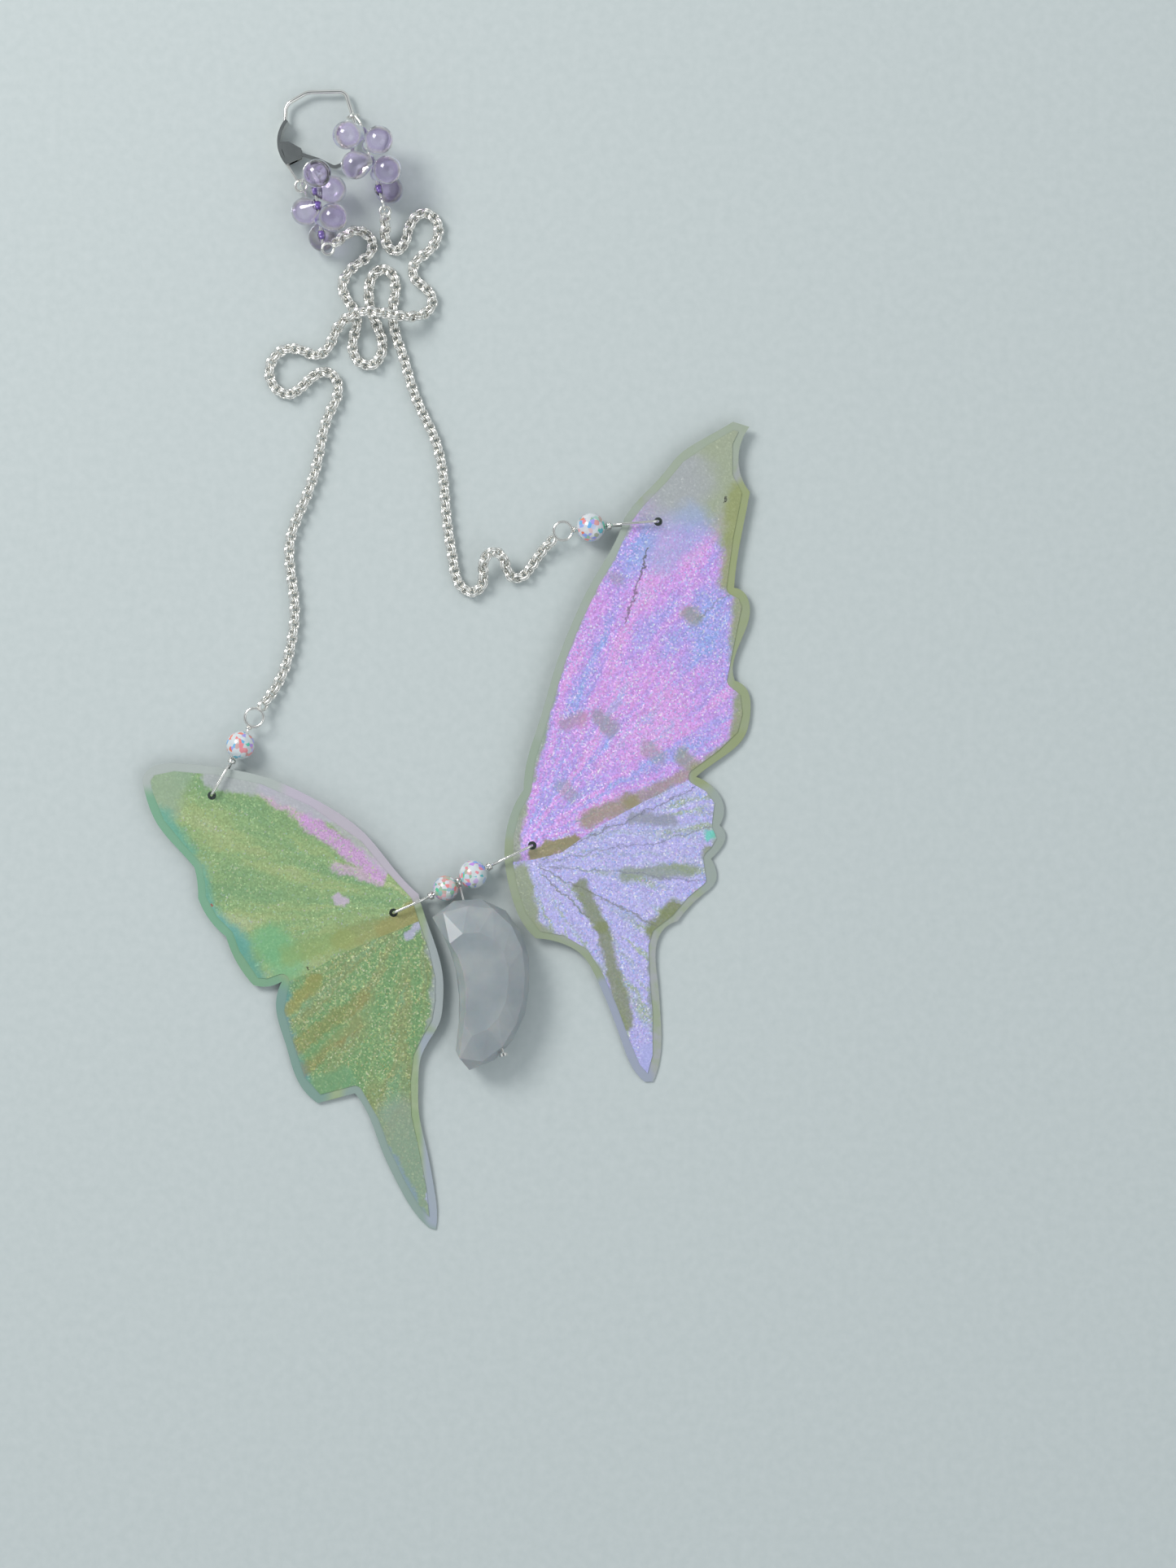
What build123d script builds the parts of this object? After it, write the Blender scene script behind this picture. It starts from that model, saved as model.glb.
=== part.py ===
"""Winged pendant necklace: two film wings, opal and crystal beads, fine chain and a leverback clasp.

It lies flat on a surface at z = 0, in millimetres. X runs to the right, Y runs from the wing tails
up to the clasp, and the origin is under the middle of everything but the chains.
"""

import os
from math import asin, atan2, cos, degrees, pi, radians, sin, sqrt

from build123d import *

os.makedirs("parts", exist_ok=True)

# ---- Driving dimensions ------------------------------------------------------------------------
WIRE = 0.4  # beading wire, 26 gauge
STEM = 0.36  # a straight stem is a shade thinner, so that it ends cleanly inside an eye
CLASP_WIRE = 0.6
CHAIN = 1.8  # envelope of the double-link chain
EYE_RADIUS = 1.3  # centre line of the eyes that the chains hang from
SMALL_EYE_RADIUS = 0.8  # centre line of the small eyes at the bead clusters
WRAP_DIAMETER = 1.2
WRAP_LENGTH = 0.8
PLAY = 0.08  # end play between a bead and the wrap beside it
LOOP_HALF_HEIGHT = 1.3  # centre line of the loops that hold the wings
SHOULDER_SHARE = 0.15  # how far along a loop it reaches its full height
SHOULDER_BEND = 1.2
HOLE_BEND = 1.1
LINK_HEIGHT = 2.0  # the links lie at the height of the opal beads' centres
OPAL = 4.0
SMALL_OPAL = 3.6
OPAL_BORE = 0.56
BACKING = 0.2  # clear film under each wing
COLOUR_FILM = 0.1  # iridescent film bonded to the backing
RIM = 1.1  # clear border left around the coloured film
WING_HOLE = 1.2
FOOT_ALLOWANCE = 0.02  # keeps a wing's lowest edge from dipping under the surface
DROP_RADIUS = 2.0
DROP_NECK_RADIUS = 0.7
DROP_REACH = 2.6  # from the hole in a drop's neck to the centre of its bulb
DROP_BORE = 0.8
DROP_PITCH = 2.05
DROP_ALLOWANCE = 1.3  # bare wire between the last drop and the eye
CLUSTER_BEND = 0.9  # where a cluster's wire rises from its top eye
TIGHT_BEND = 0.35  # where the left one turns back down over its first drop
RIGHT_BEND = 0.5
LEFT_RISE_REACH = 1.9  # bare wire above the first drop
RIGHT_RISE_REACH = 1.4
STONE_THICKNESS = 7.0
# How wide the stone is, as a share of its outline, at each share of its thickness.
STONE_LEVELS = ((0, 0.62), (0.22, 0.93), (0.5, 1.0), (0.8, 0.93), (1.0, 0.62))
PIN_EYE_RADIUS = 0.7
PIN_EYE_GAP = 0.25  # from the small opal's end to the middle of the pin's eye
PIN_HEAD_DIAMETER = 1.2
PIN_HEAD_THICKNESS = 0.4
JUMP_RING_RADIUS = 0.7
JUMP_RING_OFFSET = 0.25  # its middle lies this far outside the eye it hangs in
PIN_BORE = 0.56
BORE_OVERRUN = 5  # carries the bore clear out of the stone past the pin's head
CLASP_HEIGHT = 1.25  # middle plane of the clasp
SHELL_WIDTH = 2.5
SHEET = 0.5
LEVER_WIDTH = 1.0
LEVER_BEND = 0.8
HUB_RADIUS = 0.75
TIP_WIDTH = 0.9
TIP_LENGTH = 0.6
CHEEK = 0.25  # thickness of the shell's two cheeks
CHEEK_PLAY = 0.1
RIVET_HEAD = 0.2
RIVET = 0.56
RIVET_BORE = 0.68

# ---- Places ------------------------------------------------------------------------------------
LEFT_EYE = (-27.0, -8.0)
LEFT_OPAL = (-28.9, -11.9)
LEFT_OUTER_HOLE = (-32.9, -18.9)
LEFT_INNER_HOLE = (-7.5, -35.3)
RIGHT_EYE = (16.2, 18.1)
RIGHT_OPAL = (20.1, 18.6)
RIGHT_OUTER_HOLE = (29.5, 19.4)
RIGHT_INNER_HOLE = (11.9, -25.9)
CENTRE_LEFT_OPAL = (-0.2, -31.9)
CENTRE_RIGHT_OPAL = (3.64, -29.95)
PIN_HEAD = (7.9, -54.8, 4.6)
CLASP_RING = (-20.5, 66.5)
SHELL_TOP = (-22.4, 75.5)
SHELL_FRONT = (-23.5, 72.5)
SHELL_FOOT = (-22.3, 69.4)
RIVET_AT = (-21.0, 71.0)
RING_STEM_TOP = (-22.35, 69.4)
RING_STEM_FOOT = (-21.0, 67.1)
LEVER_TIP = (-12.95, 74.6)
LEFT_HOLE_TOP = (-18.5, 67.2, 5.2)  # the holes of the first drops
RIGHT_HOLE_TOP = (-11.6, 73.4, 4.8)
LEFT_WIRE_WAY = (1.15, -8.4, -0.5)
RIGHT_WIRE_WAY = (2.5, -9.0, -0.4)
LEFT_WIRE_RISE = (-20.2, 66.4, 4.4)
RIGHT_WIRE_RISE = (-13.0, 76.1, 4.3)
HOOK_EYE = (-13.17, 76.2)

# Wing outlines, clockwise from the tip: each row is one smooth stretch between two corners.
LEFT_OUTLINE = [
    [(-42.7, -16.7), (-41.6, -15.1), (-38.2, -14.4), (-32.2, -14.95), (-25.7, -16.25),
     (-18.7, -19.3), (-11.2, -24.5), (-8.1, -28.3), (-4.0, -32.7)],
    [(-4.0, -32.7), (-2.7, -36.9), (-1.5, -40.3), (-0.6, -44.3), (-0.6, -47.7), (-1.1, -50.7),
     (-2.4, -53.0), (-3.7, -55.6), (-4.1, -59.1), (-4.0, -63.6), (-3.0, -68.3), (-1.9, -74.1),
     (-1.5, -77.9), (-1.7, -79.9)],
    [(-1.7, -79.9), (-2.7, -79.6)],
    [(-2.7, -79.6), (-4.8, -77.3), (-6.9, -73.7), (-9.3, -68.6), (-10.7, -64.7), (-13.0, -60.7)],
    [(-13.0, -60.7), (-15.2, -61.3), (-18.2, -62.1)],
    [(-18.2, -62.1), (-21.0, -59.0), (-22.7, -53.8), (-24.0, -49.1), (-23.2, -45.0)],
    [(-23.2, -45.0), (-25.1, -45.7), (-27.2, -45.5)],
    [(-27.2, -45.5), (-30.1, -41.2), (-31.0, -38.7)],
    [(-31.0, -38.7), (-33.2, -36.5), (-34.9, -33.3)],
    [(-34.9, -33.3), (-35.0, -31.1), (-35.4, -29.0)],
    [(-35.4, -29.0), (-37.9, -26.2), (-40.6, -22.9), (-42.2, -18.9), (-42.7, -16.7)],
]
RIGHT_OUTLINE = [
    [(40.0, 33.4), (42.3, 32.7)],
    [(42.3, 32.7), (41.0, 30.0), (41.0, 26.3), (42.4, 23.6)],
    [(42.4, 23.6), (41.9, 21.0), (41.1, 17.0), (40.2, 10.2)],
    [(40.2, 10.2), (41.7, 9.4), (42.4, 7.6), (41.6, 3.8), (40.3, -2.8)],
    [(40.3, -2.8), (42.1, -4.2), (42.5, -7.5), (41.7, -10.6), (38.7, -13.5), (34.9, -16.3)],
    [(34.9, -16.3), (37.0, -17.5), (38.6, -19.7), (38.2, -23.1)],
    [(38.2, -23.1), (39.0, -25.0), (37.9, -26.9), (37.0, -27.8)],
    [(37.0, -27.8), (37.5, -31.3), (36.7, -32.2)],
    [(36.7, -32.2), (34.5, -34.0), (32.3, -36.6)],
    [(32.3, -36.6), (29.8, -38.5), (29.3, -40.1), (29.5, -44.7), (29.9, -49.4), (29.9, -55.5),
     (28.9, -59.1)],
    [(28.9, -59.1), (27.7, -59.1)],
    [(27.7, -59.1), (26.1, -57.3), (24.5, -53.5), (23.0, -49.4), (21.0, -44.7), (18.9, -41.3),
     (16.0, -39.6), (12.4, -38.9)],
    [(12.4, -38.9), (10.1, -35.9), (8.8, -32.2), (8.1, -28.5), (8.2, -24.4), (9.1, -21.0),
     (10.7, -18.1)],
    [(10.7, -18.1), (11.2, -14.0), (12.9, -8.5), (15.5, 0.2), (17.6, 5.5), (20.2, 10.9),
     (22.6, 14.9), (24.8, 19.9)],
    [(24.8, 19.9), (26.6, 22.3), (29.9, 25.7), (32.3, 28.6), (36.0, 31.1), (40.0, 33.4)],
]

# Where the forewing film ends and the hindwing film begins, from the inner edge to the notch.
LEFT_SEAM = [(1.0, -34.5), (-4.0, -36.5), (-9.1, -38.6), (-14.9, -41.1), (-19.4, -43.7), (-26.0, -46.6)]
RIGHT_SEAM = [(5.0, -28.6), (12.0, -27.9), (16.0, -26.9), (21.4, -23.1), (27.7, -19.7), (38.0, -14.8)]

# The chains' routes, from a bead cluster to a wing link.
LEFT_CHAIN = [
    (-15.7, 57.75, 4.9), (-14.4, 59.1, 3.8), (-13.0, 60.2, 2.1), (-11.7, 60.1, 0.9),
    (-10.5, 59.0, 0.9), (-10.5, 57.5, 0.9), (-11.5, 56.3, 0.9), (-13.0, 55.4, 0.9),
    (-14.3, 54.0, 0.9), (-14.9, 52.3, 0.9), (-14.1, 50.6, 0.9), (-12.9, 49.0, 0.9),
    (-12.6, 47.0, 0.9), (-13.3, 45.0, 0.9), (-13.3, 43.0, 0.9), (-12.1, 41.5, 0.9),
    (-10.4, 41.3, 0.9), (-9.3, 42.6, 0.9), (-9.0, 44.5, 0.9), (-9.7, 46.6, 0.9),
    (-10.6, 48.6, 0.9), (-11.1, 50.8, 0.9), (-11.0, 52.9, 0.9), (-10.2, 54.5, 0.9),
    (-8.7, 55.0, 0.9), (-7.5, 54.0, 0.9), (-7.2, 52.4, 0.9), (-7.5, 50.5, 0.9),
    (-7.8, 48.2, 0.9), (-7.2, 45.4, 0.9), (-6.2, 42.8, 0.9), (-5.5, 40.1, 0.9),
    (-4.5, 36.9, 0.9), (-3.3, 34.3, 0.9), (-1.9, 31.6, 0.9), (-1.0, 28.6, 0.9),
    (-0.5, 25.4, 0.9), (-0.3, 21.8, 0.9), (0.1, 18.0, 0.9), (0.7, 14.7, 0.9),
    (1.0, 12.2, 0.9), (1.8, 10.3, 0.9), (3.4, 9.4, 0.9), (4.9, 10.2, 0.9),
    (5.1, 12.1, 1.4), (5.0, 13.9, 2.6), (6.2, 15.3, 3.2), (7.8, 14.7, 2.8),
    (8.2, 13.0, 1.8), (9.0, 11.5, 0.9), (10.5, 11.6, 0.9), (11.7, 13.0, 0.9),
    (12.7, 14.6, 0.9), (13.7, 15.8, 1.3), (15.0, 17.1, 1.9),
]
RIGHT_CHAIN = [
    (-8.6, 62.0, 4.1), (-8.6, 60.7, 2.6), (-8.8, 59.1, 1.2), (-8.1, 57.5, 0.9),
    (-6.7, 57.4, 0.9), (-5.8, 58.8, 0.9), (-5.5, 60.5, 0.9), (-4.7, 62.1, 0.9),
    (-3.3, 62.9, 0.9), (-1.8, 62.2, 0.9), (-1.1, 60.6, 0.9), (-1.5, 58.8, 0.9),
    (-2.6, 57.3, 0.9), (-4.2, 56.3, 0.9), (-5.0, 54.8, 0.9), (-4.5, 53.2, 0.9),
    (-2.9, 52.2, 0.9), (-1.9, 50.6, 0.9), (-2.5, 48.9, 0.9), (-4.1, 48.1, 1.8),
    (-6.2, 47.9, 3.6), (-9.1, 48.4, 4.2), (-11.7, 48.6, 4.2), (-13.8, 48.0, 3.0),
    (-15.3, 46.9, 1.4), (-16.1, 45.1, 0.9), (-16.9, 43.4, 0.9), (-18.5, 42.6, 0.9),
    (-20.3, 43.5, 0.9), (-22.2, 43.9, 0.9), (-23.9, 43.1, 0.9), (-24.9, 41.5, 0.9),
    (-25.0, 39.6, 0.9), (-24.0, 37.9, 0.9), (-22.3, 37.1, 0.9), (-20.7, 38.0, 0.9),
    (-19.2, 39.6, 0.9), (-17.6, 40.6, 0.9), (-16.0, 40.2, 0.9), (-15.2, 38.6, 0.9),
    (-15.5, 36.6, 0.9), (-16.6, 34.7, 0.9), (-17.4, 32.3, 0.9), (-17.9, 29.4, 0.9),
    (-18.6, 26.2, 0.9), (-19.7, 23.1, 0.9), (-21.0, 20.2, 0.9), (-22.1, 17.2, 0.9),
    (-22.2, 13.8, 0.9), (-21.6, 10.1, 0.9), (-21.3, 6.5, 0.9), (-21.8, 2.6, 0.9),
    (-22.7, -1.1, 0.9), (-24.2, -4.1, 0.9), (-25.2, -5.4, 1.3), (-26.1, -6.8, 1.9),
]

# The clasp's ear wire and its lever, seen from above.
EAR_WIRE = [(-22.75, 75.3), (-22.6, 77.9), (-19.6, 79.6), (-14.3, 79.7), (-12.95, 75.3)]
EAR_WIRE_BENDS = [1.6, 2.2, 1.1]
LEVER_ARM = [RIVET_AT, (-18.1, 70.1), (-15.8, 69.0), (-13.4, 69.9), (-12.95, 74.9)]
CHEEK_OUTLINE = [SHELL_FRONT, (-22.2, 72.6), (-20.4, 71.6), (-20.4, 70.3), SHELL_FOOT]

# The crescent's outline, seen from above, from its horn round the outer edge and back inside.
STONE_OUTLINE = [
    (-2.0, -35.9), (-0.9, -34.4), (0.9, -33.6), (4.1, -33.2), (7.0, -33.8), (9.3, -36.0),
    (10.9, -38.9), (11.5, -41.7), (11.5, -45.8), (11.0, -49.2), (9.6, -52.5), (8.1, -54.6),
    (5.6, -56.7), (2.7, -57.3), (1.7, -56.6), (1.2, -55.0), (1.4, -52.6), (1.8, -49.6),
    (1.7, -45.8), (1.1, -42.4), (0.0, -39.2), (-1.1, -37.4),
]


def save(piece, name):
    """Name one finished piece and write its STEP file."""
    piece.label = name
    export_step(piece, f"parts/{name}.step")


def raised(place, height=LINK_HEIGHT):
    """A plan position at a height."""
    return Vector(place[0], place[1], height)


def round_wire(points, bends, diameter):
    """A round wire along straight runs joined by tangent arcs."""
    with BuildPart() as wire:
        with BuildLine() as route:
            FilletPolyline(*points, radius=bends)
        with BuildSketch(Plane(origin=route.line @ 0, z_dir=route.line % 0)):
            Circle(diameter / 2)
        sweep(path=route.line)
    return wire.part


def ring(centre, axis, radius, diameter=WIRE):
    """A closed ring of round wire about an axis."""
    with BuildPart() as hoop:
        with Locations(Plane(origin=centre, z_dir=axis).location):
            Torus(radius, diameter / 2)
    return hoop.part


def rod(start, end, diameter):
    """A straight round rod between two points."""
    start = Vector(*start)
    run = Vector(*end) - start
    with BuildPart() as bar:
        with BuildSketch(Plane(origin=start, z_dir=run)):
            Circle(diameter / 2)
        extrude(amount=run.length)
    return bar.part


def loop(neck, hole):
    """The upright loop that leaves a wrap, runs down through a wing's hole and comes back."""
    along = hole - neck
    inside = neck - along.normalized() * (WRAP_LENGTH / 2)
    shoulder = neck + along * SHOULDER_SHARE
    tuck = Vector(0, 0, WIRE / 4)
    rise = Vector(0, 0, LOOP_HALF_HEIGHT)
    return round_wire(
        [inside + tuck, shoulder + rise, hole + rise, hole - rise, shoulder - rise, inside - tuck],
        [SHOULDER_BEND, HOLE_BEND, HOLE_BEND, SHOULDER_BEND],
        WIRE,
    )


def wrap(bead, radius, towards):
    """The sleeve of tight turns against a bead, and the neck point at its far end."""
    way = (towards - bead).normalized()
    start = bead + way * (radius + PLAY)
    neck = start + way * WRAP_LENGTH
    return rod(start, neck, WRAP_DIAMETER), neck


def joined(*pieces):
    """Pieces of one bent wire as one solid."""
    with BuildPart() as whole:
        for piece in pieces:
            add(piece)
    return whole.part


def opal(centre, diameter, way):
    """A round bead drilled through along the wire."""
    with BuildPart() as bead:
        with Locations(Plane(origin=centre, z_dir=way).location):
            Sphere(diameter / 2)
            Cylinder(OPAL_BORE / 2, diameter, mode=Mode.SUBTRACT)
    return bead.part


# ---- Links -------------------------------------------------------------------------------------
def outer_link(eye_at, bead_at, hole_at):
    """An outer link: an eye for the chain, a straight through the bead, a wrap and a loop."""
    eye = raised(eye_at)
    bead = raised(bead_at)
    hole = raised(hole_at)
    sleeve, neck = wrap(bead, OPAL / 2, hole + (bead - eye) * 0.5)
    to_bead = (bead - eye).normalized()
    return joined(
        ring(eye, (0, 0, 1), EYE_RADIUS),
        rod(eye + to_bead * EYE_RADIUS, bead + to_bead * (OPAL / 2 + WRAP_LENGTH / 2), STEM),
        sleeve,
        loop(neck, hole),
    )


save(outer_link(LEFT_EYE, LEFT_OPAL, LEFT_OUTER_HOLE), "left_outer_link_wire")
save(outer_link(RIGHT_EYE, RIGHT_OPAL, RIGHT_OUTER_HOLE), "right_outer_link_wire")

left_bead = raised(CENTRE_LEFT_OPAL)
right_bead = raised(CENTRE_RIGHT_OPAL)
centre_way = (right_bead - left_bead).normalized()
left_sleeve, left_neck = wrap(left_bead, SMALL_OPAL / 2, left_bead - centre_way)
right_sleeve, right_neck = wrap(right_bead, OPAL / 2, right_bead + centre_way)
centre_link = joined(
    loop(left_neck, raised(LEFT_INNER_HOLE)),
    left_sleeve,
    rod(left_neck + centre_way * (WRAP_LENGTH / 2), right_neck - centre_way * (WRAP_LENGTH / 2), STEM),
    right_sleeve,
    loop(right_neck, raised(RIGHT_INNER_HOLE)),
)
save(centre_link, "centre_link_wire")

# ---- Opal beads --------------------------------------------------------------------------------
save(opal(raised(LEFT_OPAL), OPAL, raised(LEFT_OPAL) - raised(LEFT_EYE)), "left_outer_opal")
save(opal(raised(RIGHT_OPAL), OPAL, raised(RIGHT_OPAL) - raised(RIGHT_EYE)), "right_outer_opal")
save(opal(left_bead, SMALL_OPAL, centre_way), "centre_left_opal")
save(opal(right_bead, OPAL, centre_way), "centre_right_opal")


# ---- Wings -------------------------------------------------------------------------------------
def tilted_plane(outer_hole, inner_hole, tilt):
    """The level plane through a wing's holes, turned about the line through them."""
    home = raised(outer_hole)
    turn = Axis((0, 0, 0), raised(inner_hole) - home)
    flat_origin = raised((0, 0))
    return Plane(
        origin=home + (flat_origin - home).rotate(turn, tilt),
        x_dir=Vector(1, 0, 0).rotate(turn, tilt),
        z_dir=Vector(0, 0, 1).rotate(turn, tilt),
    )


def reach(outer_hole, inner_hole, far_point):
    """How far a point of a wing lies from the line through its holes, seen from above."""
    along = raised(inner_hole) - raised(outer_hole)
    out = raised(far_point) - raised(outer_hole)
    return abs(along.X * out.Y - along.Y * out.X) / along.length


def outline_face(outline):
    """The wing's outline as smooth stretches that meet in corners."""
    with BuildSketch() as shape:
        with BuildLine():
            for stretch in outline:
                if len(stretch) == 2:
                    Line(*stretch)
                else:
                    Spline(*stretch)
        make_face()
    return shape.sketch


def inset_face(outline, border):
    """What is left of the wing after a slot as wide as both borders is cut along every snip."""
    corners = [point for stretch in outline for point in stretch[:-1]]
    with BuildSketch() as shape:
        with BuildLine():
            Polyline(*corners, close=True)
        make_face()
        for start, end in zip(corners, corners[1:] + corners[:1]):
            snip = Vector(*end) - Vector(*start)
            with Locations(Vector(*start) + snip / 2):
                turn = degrees(atan2(snip.Y, snip.X))
                SlotCenterToCenter(snip.length, 2 * border, rotation=turn, mode=Mode.SUBTRACT)
    return shape.sketch


def side_face(seam, far_corners):
    """Everything on one side of the seam between the forewing and the hindwing."""
    with BuildSketch() as half:
        with BuildLine():
            Polyline(*seam, *far_corners, close=True)
        make_face()
    return half.sketch


def film(plane, face, bottom, thickness, holes, keep=None):
    """A sheet of film in the wing's plane, cut to a face, with the wing's two holes punched."""
    with BuildPart() as sheet:
        with BuildSketch(plane.offset(bottom)):
            add(face)
            if keep:
                add(keep, mode=Mode.INTERSECT)
            with Locations(*holes):
                Circle(WING_HOLE / 2, mode=Mode.SUBTRACT)
        extrude(amount=thickness)
    return sheet.part


def wing(side, outline, seam, outer_hole, inner_hole, far_point, far_side, corners):
    """The backing and the two coloured films of one wing, resting on its farthest point."""
    drop = LINK_HEIGHT - (BACKING + COLOUR_FILM) / 2 - FOOT_ALLOWANCE
    tilt = far_side * degrees(asin(drop / reach(outer_hole, inner_hole, far_point)))
    plane = tilted_plane(outer_hole, inner_hole, tilt)
    holes = (outer_hole, inner_hole)
    face = outline_face(outline)
    bottom = -(BACKING + COLOUR_FILM) / 2
    top = bottom + BACKING
    save(film(plane, face, bottom, BACKING, holes), f"{side}_wing_backing")
    for name, corner_set in corners.items():
        half = side_face(seam, corner_set)
        piece = film(plane, inset_face(outline, RIM), top, COLOUR_FILM, holes, keep=half)
        save(piece, f"{side}_{name}_film")
    print(side, "wing tilt", round(tilt, 2))


wing("left", LEFT_OUTLINE, LEFT_SEAM, LEFT_OUTER_HOLE, LEFT_INNER_HOLE, (-1.7, -79.9), 1, {
    "forewing": [(-50, -46.6), (-50, 0), (10, 0)],
    "hindwing": [(-26.0, -90), (10, -90), (10, -34.5)],
})
wing("right", RIGHT_OUTLINE, RIGHT_SEAM, RIGHT_OUTER_HOLE, RIGHT_INNER_HOLE, (28.9, -59.1), -1, {
    "forewing": [(60, -14.8), (60, 50), (5, 50)],
    "hindwing": [(60, -14.8), (60, -70), (5, -70)],
})

# ---- Crescent stone and its head pin ---------------------------------------------------------
pin_eye = left_bead + centre_way * (SMALL_OPAL / 2 + PIN_EYE_GAP)
pin_head = Vector(*PIN_HEAD)
pin_way = (pin_head - pin_eye).normalized()


def shrunk(points, share):
    """An outline drawn in towards its middle."""
    mid_x = sum(x for x, y in points) / len(points)
    mid_y = sum(y for x, y in points) / len(points)
    return [(mid_x + (x - mid_x) * share, mid_y + (y - mid_y) * share) for x, y in points]


with BuildPart() as stone:
    for height, share in STONE_LEVELS:
        with BuildSketch(Plane.XY.offset(height * STONE_THICKNESS)):
            with BuildLine():
                Polyline(*shrunk(STONE_OUTLINE, share), close=True)
            make_face()
    loft(ruled=True)
    add(rod(pin_eye, pin_head + pin_way * BORE_OVERRUN, PIN_BORE), mode=Mode.SUBTRACT)
save(stone.part, "crescent_stone")

head_disc = rod(pin_head, pin_head + pin_way * PIN_HEAD_THICKNESS, PIN_HEAD_DIAMETER)
pin = joined(
    ring(pin_eye, centre_way, PIN_EYE_RADIUS),
    rod(pin_eye + pin_way * PIN_EYE_RADIUS, pin_head + pin_way * PIN_HEAD_THICKNESS / 2, STEM),
    head_disc,
)
save(pin, "crescent_head_pin")


# ---- Drop-bead clusters ------------------------------------------------------------------------
def drop_bead(hole, way, roll, lean):
    """A glass drop threaded on a wire: a bulb, a neck and a hole across the neck.

    Its outline is the hull of two circles, turned about the drop's own axis.
    """
    side = way.cross(Vector(0, 0, 1)).normalized()
    up = side.cross(way).normalized()
    out = -side * cos(radians(roll)) + up * sin(radians(roll))
    axis = out * cos(radians(lean)) + way * sin(radians(lean))
    across = way * cos(radians(lean)) - out * sin(radians(lean))
    spot = Plane(origin=hole, x_dir=axis, z_dir=across)
    slope = (DROP_RADIUS - DROP_NECK_RADIUS) / DROP_REACH
    rise = sqrt(1 - slope**2)
    with BuildPart() as drop:
        with BuildSketch(spot):
            with BuildLine():
                neck_end = (-DROP_NECK_RADIUS * slope, DROP_NECK_RADIUS * rise)
                bulb_start = (DROP_REACH - DROP_RADIUS * slope, DROP_RADIUS * rise)
                half = sqrt(0.5)
                top = (-DROP_NECK_RADIUS, 0)
                foot = (DROP_REACH + DROP_RADIUS, 0)
                ThreePointArc(top, (-DROP_NECK_RADIUS * half, DROP_NECK_RADIUS * half), neck_end)
                Line(neck_end, bulb_start)
                ThreePointArc(bulb_start, (DROP_REACH + DROP_RADIUS * half, DROP_RADIUS * half), foot)
                Line(foot, top)
            make_face()
        revolve(axis=Axis(spot.origin, spot.x_dir))
        with Locations(spot.location):
            Cylinder(DROP_BORE / 2, 4 * DROP_NECK_RADIUS, mode=Mode.SUBTRACT)
    return drop.part


def cluster(side, first_hole, way, rolls, leans):
    """Drops threaded one after another along a straight wire."""
    for number, (roll, lean) in enumerate(zip(rolls, leans)):
        hole = first_hole + way * (DROP_PITCH * number)
        save(drop_bead(hole, way, roll, lean), f"{side}_drop_{number + 1}")


left_top = Vector(*LEFT_HOLE_TOP)
left_way = Vector(*LEFT_WIRE_WAY).normalized()
left_bottom = left_top + left_way * (DROP_PITCH * 4 + DROP_ALLOWANCE)
cluster("left", left_top, left_way, (75, -28, -135, 40, -90), (0, 0, 8, 0, 2))

ring_eye = Vector(CLASP_RING[0] + 0.4, CLASP_RING[1] - 0.7, CLASP_HEIGHT)
left_eye = left_bottom + left_way * 0.6 + Vector(0.65, 0, 0)
left_cluster_wire = joined(
    ring(ring_eye, (0.87, 0.5, 0), SMALL_EYE_RADIUS),
    round_wire(
        [
            ring_eye + Vector(0, 0, SMALL_EYE_RADIUS - WIRE / 2),
            LEFT_WIRE_RISE,
            left_top - left_way * LEFT_RISE_REACH,
            left_bottom,
        ],
        [CLUSTER_BEND, TIGHT_BEND],
        WIRE,
    ),
    ring(left_eye, (0, 0, 1), SMALL_EYE_RADIUS),
)
save(left_cluster_wire, "left_cluster_wire")

right_top = Vector(*RIGHT_HOLE_TOP)
right_way = Vector(*RIGHT_WIRE_WAY).normalized()
right_bottom = right_top + right_way * (DROP_PITCH * 4 + DROP_ALLOWANCE)
cluster("right", right_top, right_way, (150, 45, 150, 45, -60), (0, -4, 4, 0, 3))

hook_eye = raised(HOOK_EYE, CLASP_HEIGHT)
right_eye = right_bottom + right_way * SMALL_EYE_RADIUS
right_cluster_wire = joined(
    ring(hook_eye, (0.21, -0.98, 0), SMALL_EYE_RADIUS),
    round_wire(
        [
            hook_eye + Vector(0, 0, SMALL_EYE_RADIUS - WIRE / 2),
            RIGHT_WIRE_RISE,
            right_top - right_way * RIGHT_RISE_REACH,
            right_bottom,
        ],
        [CLUSTER_BEND, RIGHT_BEND],
        WIRE,
    ),
    ring(right_eye, right_way.cross(Vector(0, 0, 1)), SMALL_EYE_RADIUS),
)
save(right_cluster_wire, "right_cluster_wire")

jump_ring = right_eye + right_way * (SMALL_EYE_RADIUS + JUMP_RING_OFFSET)
save(ring(jump_ring, (0, 0, 1), JUMP_RING_RADIUS), "right_chain_jump_ring")


# ---- Chains ------------------------------------------------------------------------------------
def corner_radii(points):
    """At each corner, 0.45 of the shorter run over the tangent of half the turn."""
    radii = []
    for before, corner, after in zip(points, points[1:], points[2:]):
        run_in = Vector(*corner) - Vector(*before)
        run_out = Vector(*after) - Vector(*corner)
        half_turn = radians(run_in.get_angle(run_out) / 2)
        shorter = min(run_in.length, run_out.length)
        radii.append(0.45 * shorter * cos(half_turn) / sin(half_turn))
    return radii


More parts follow.
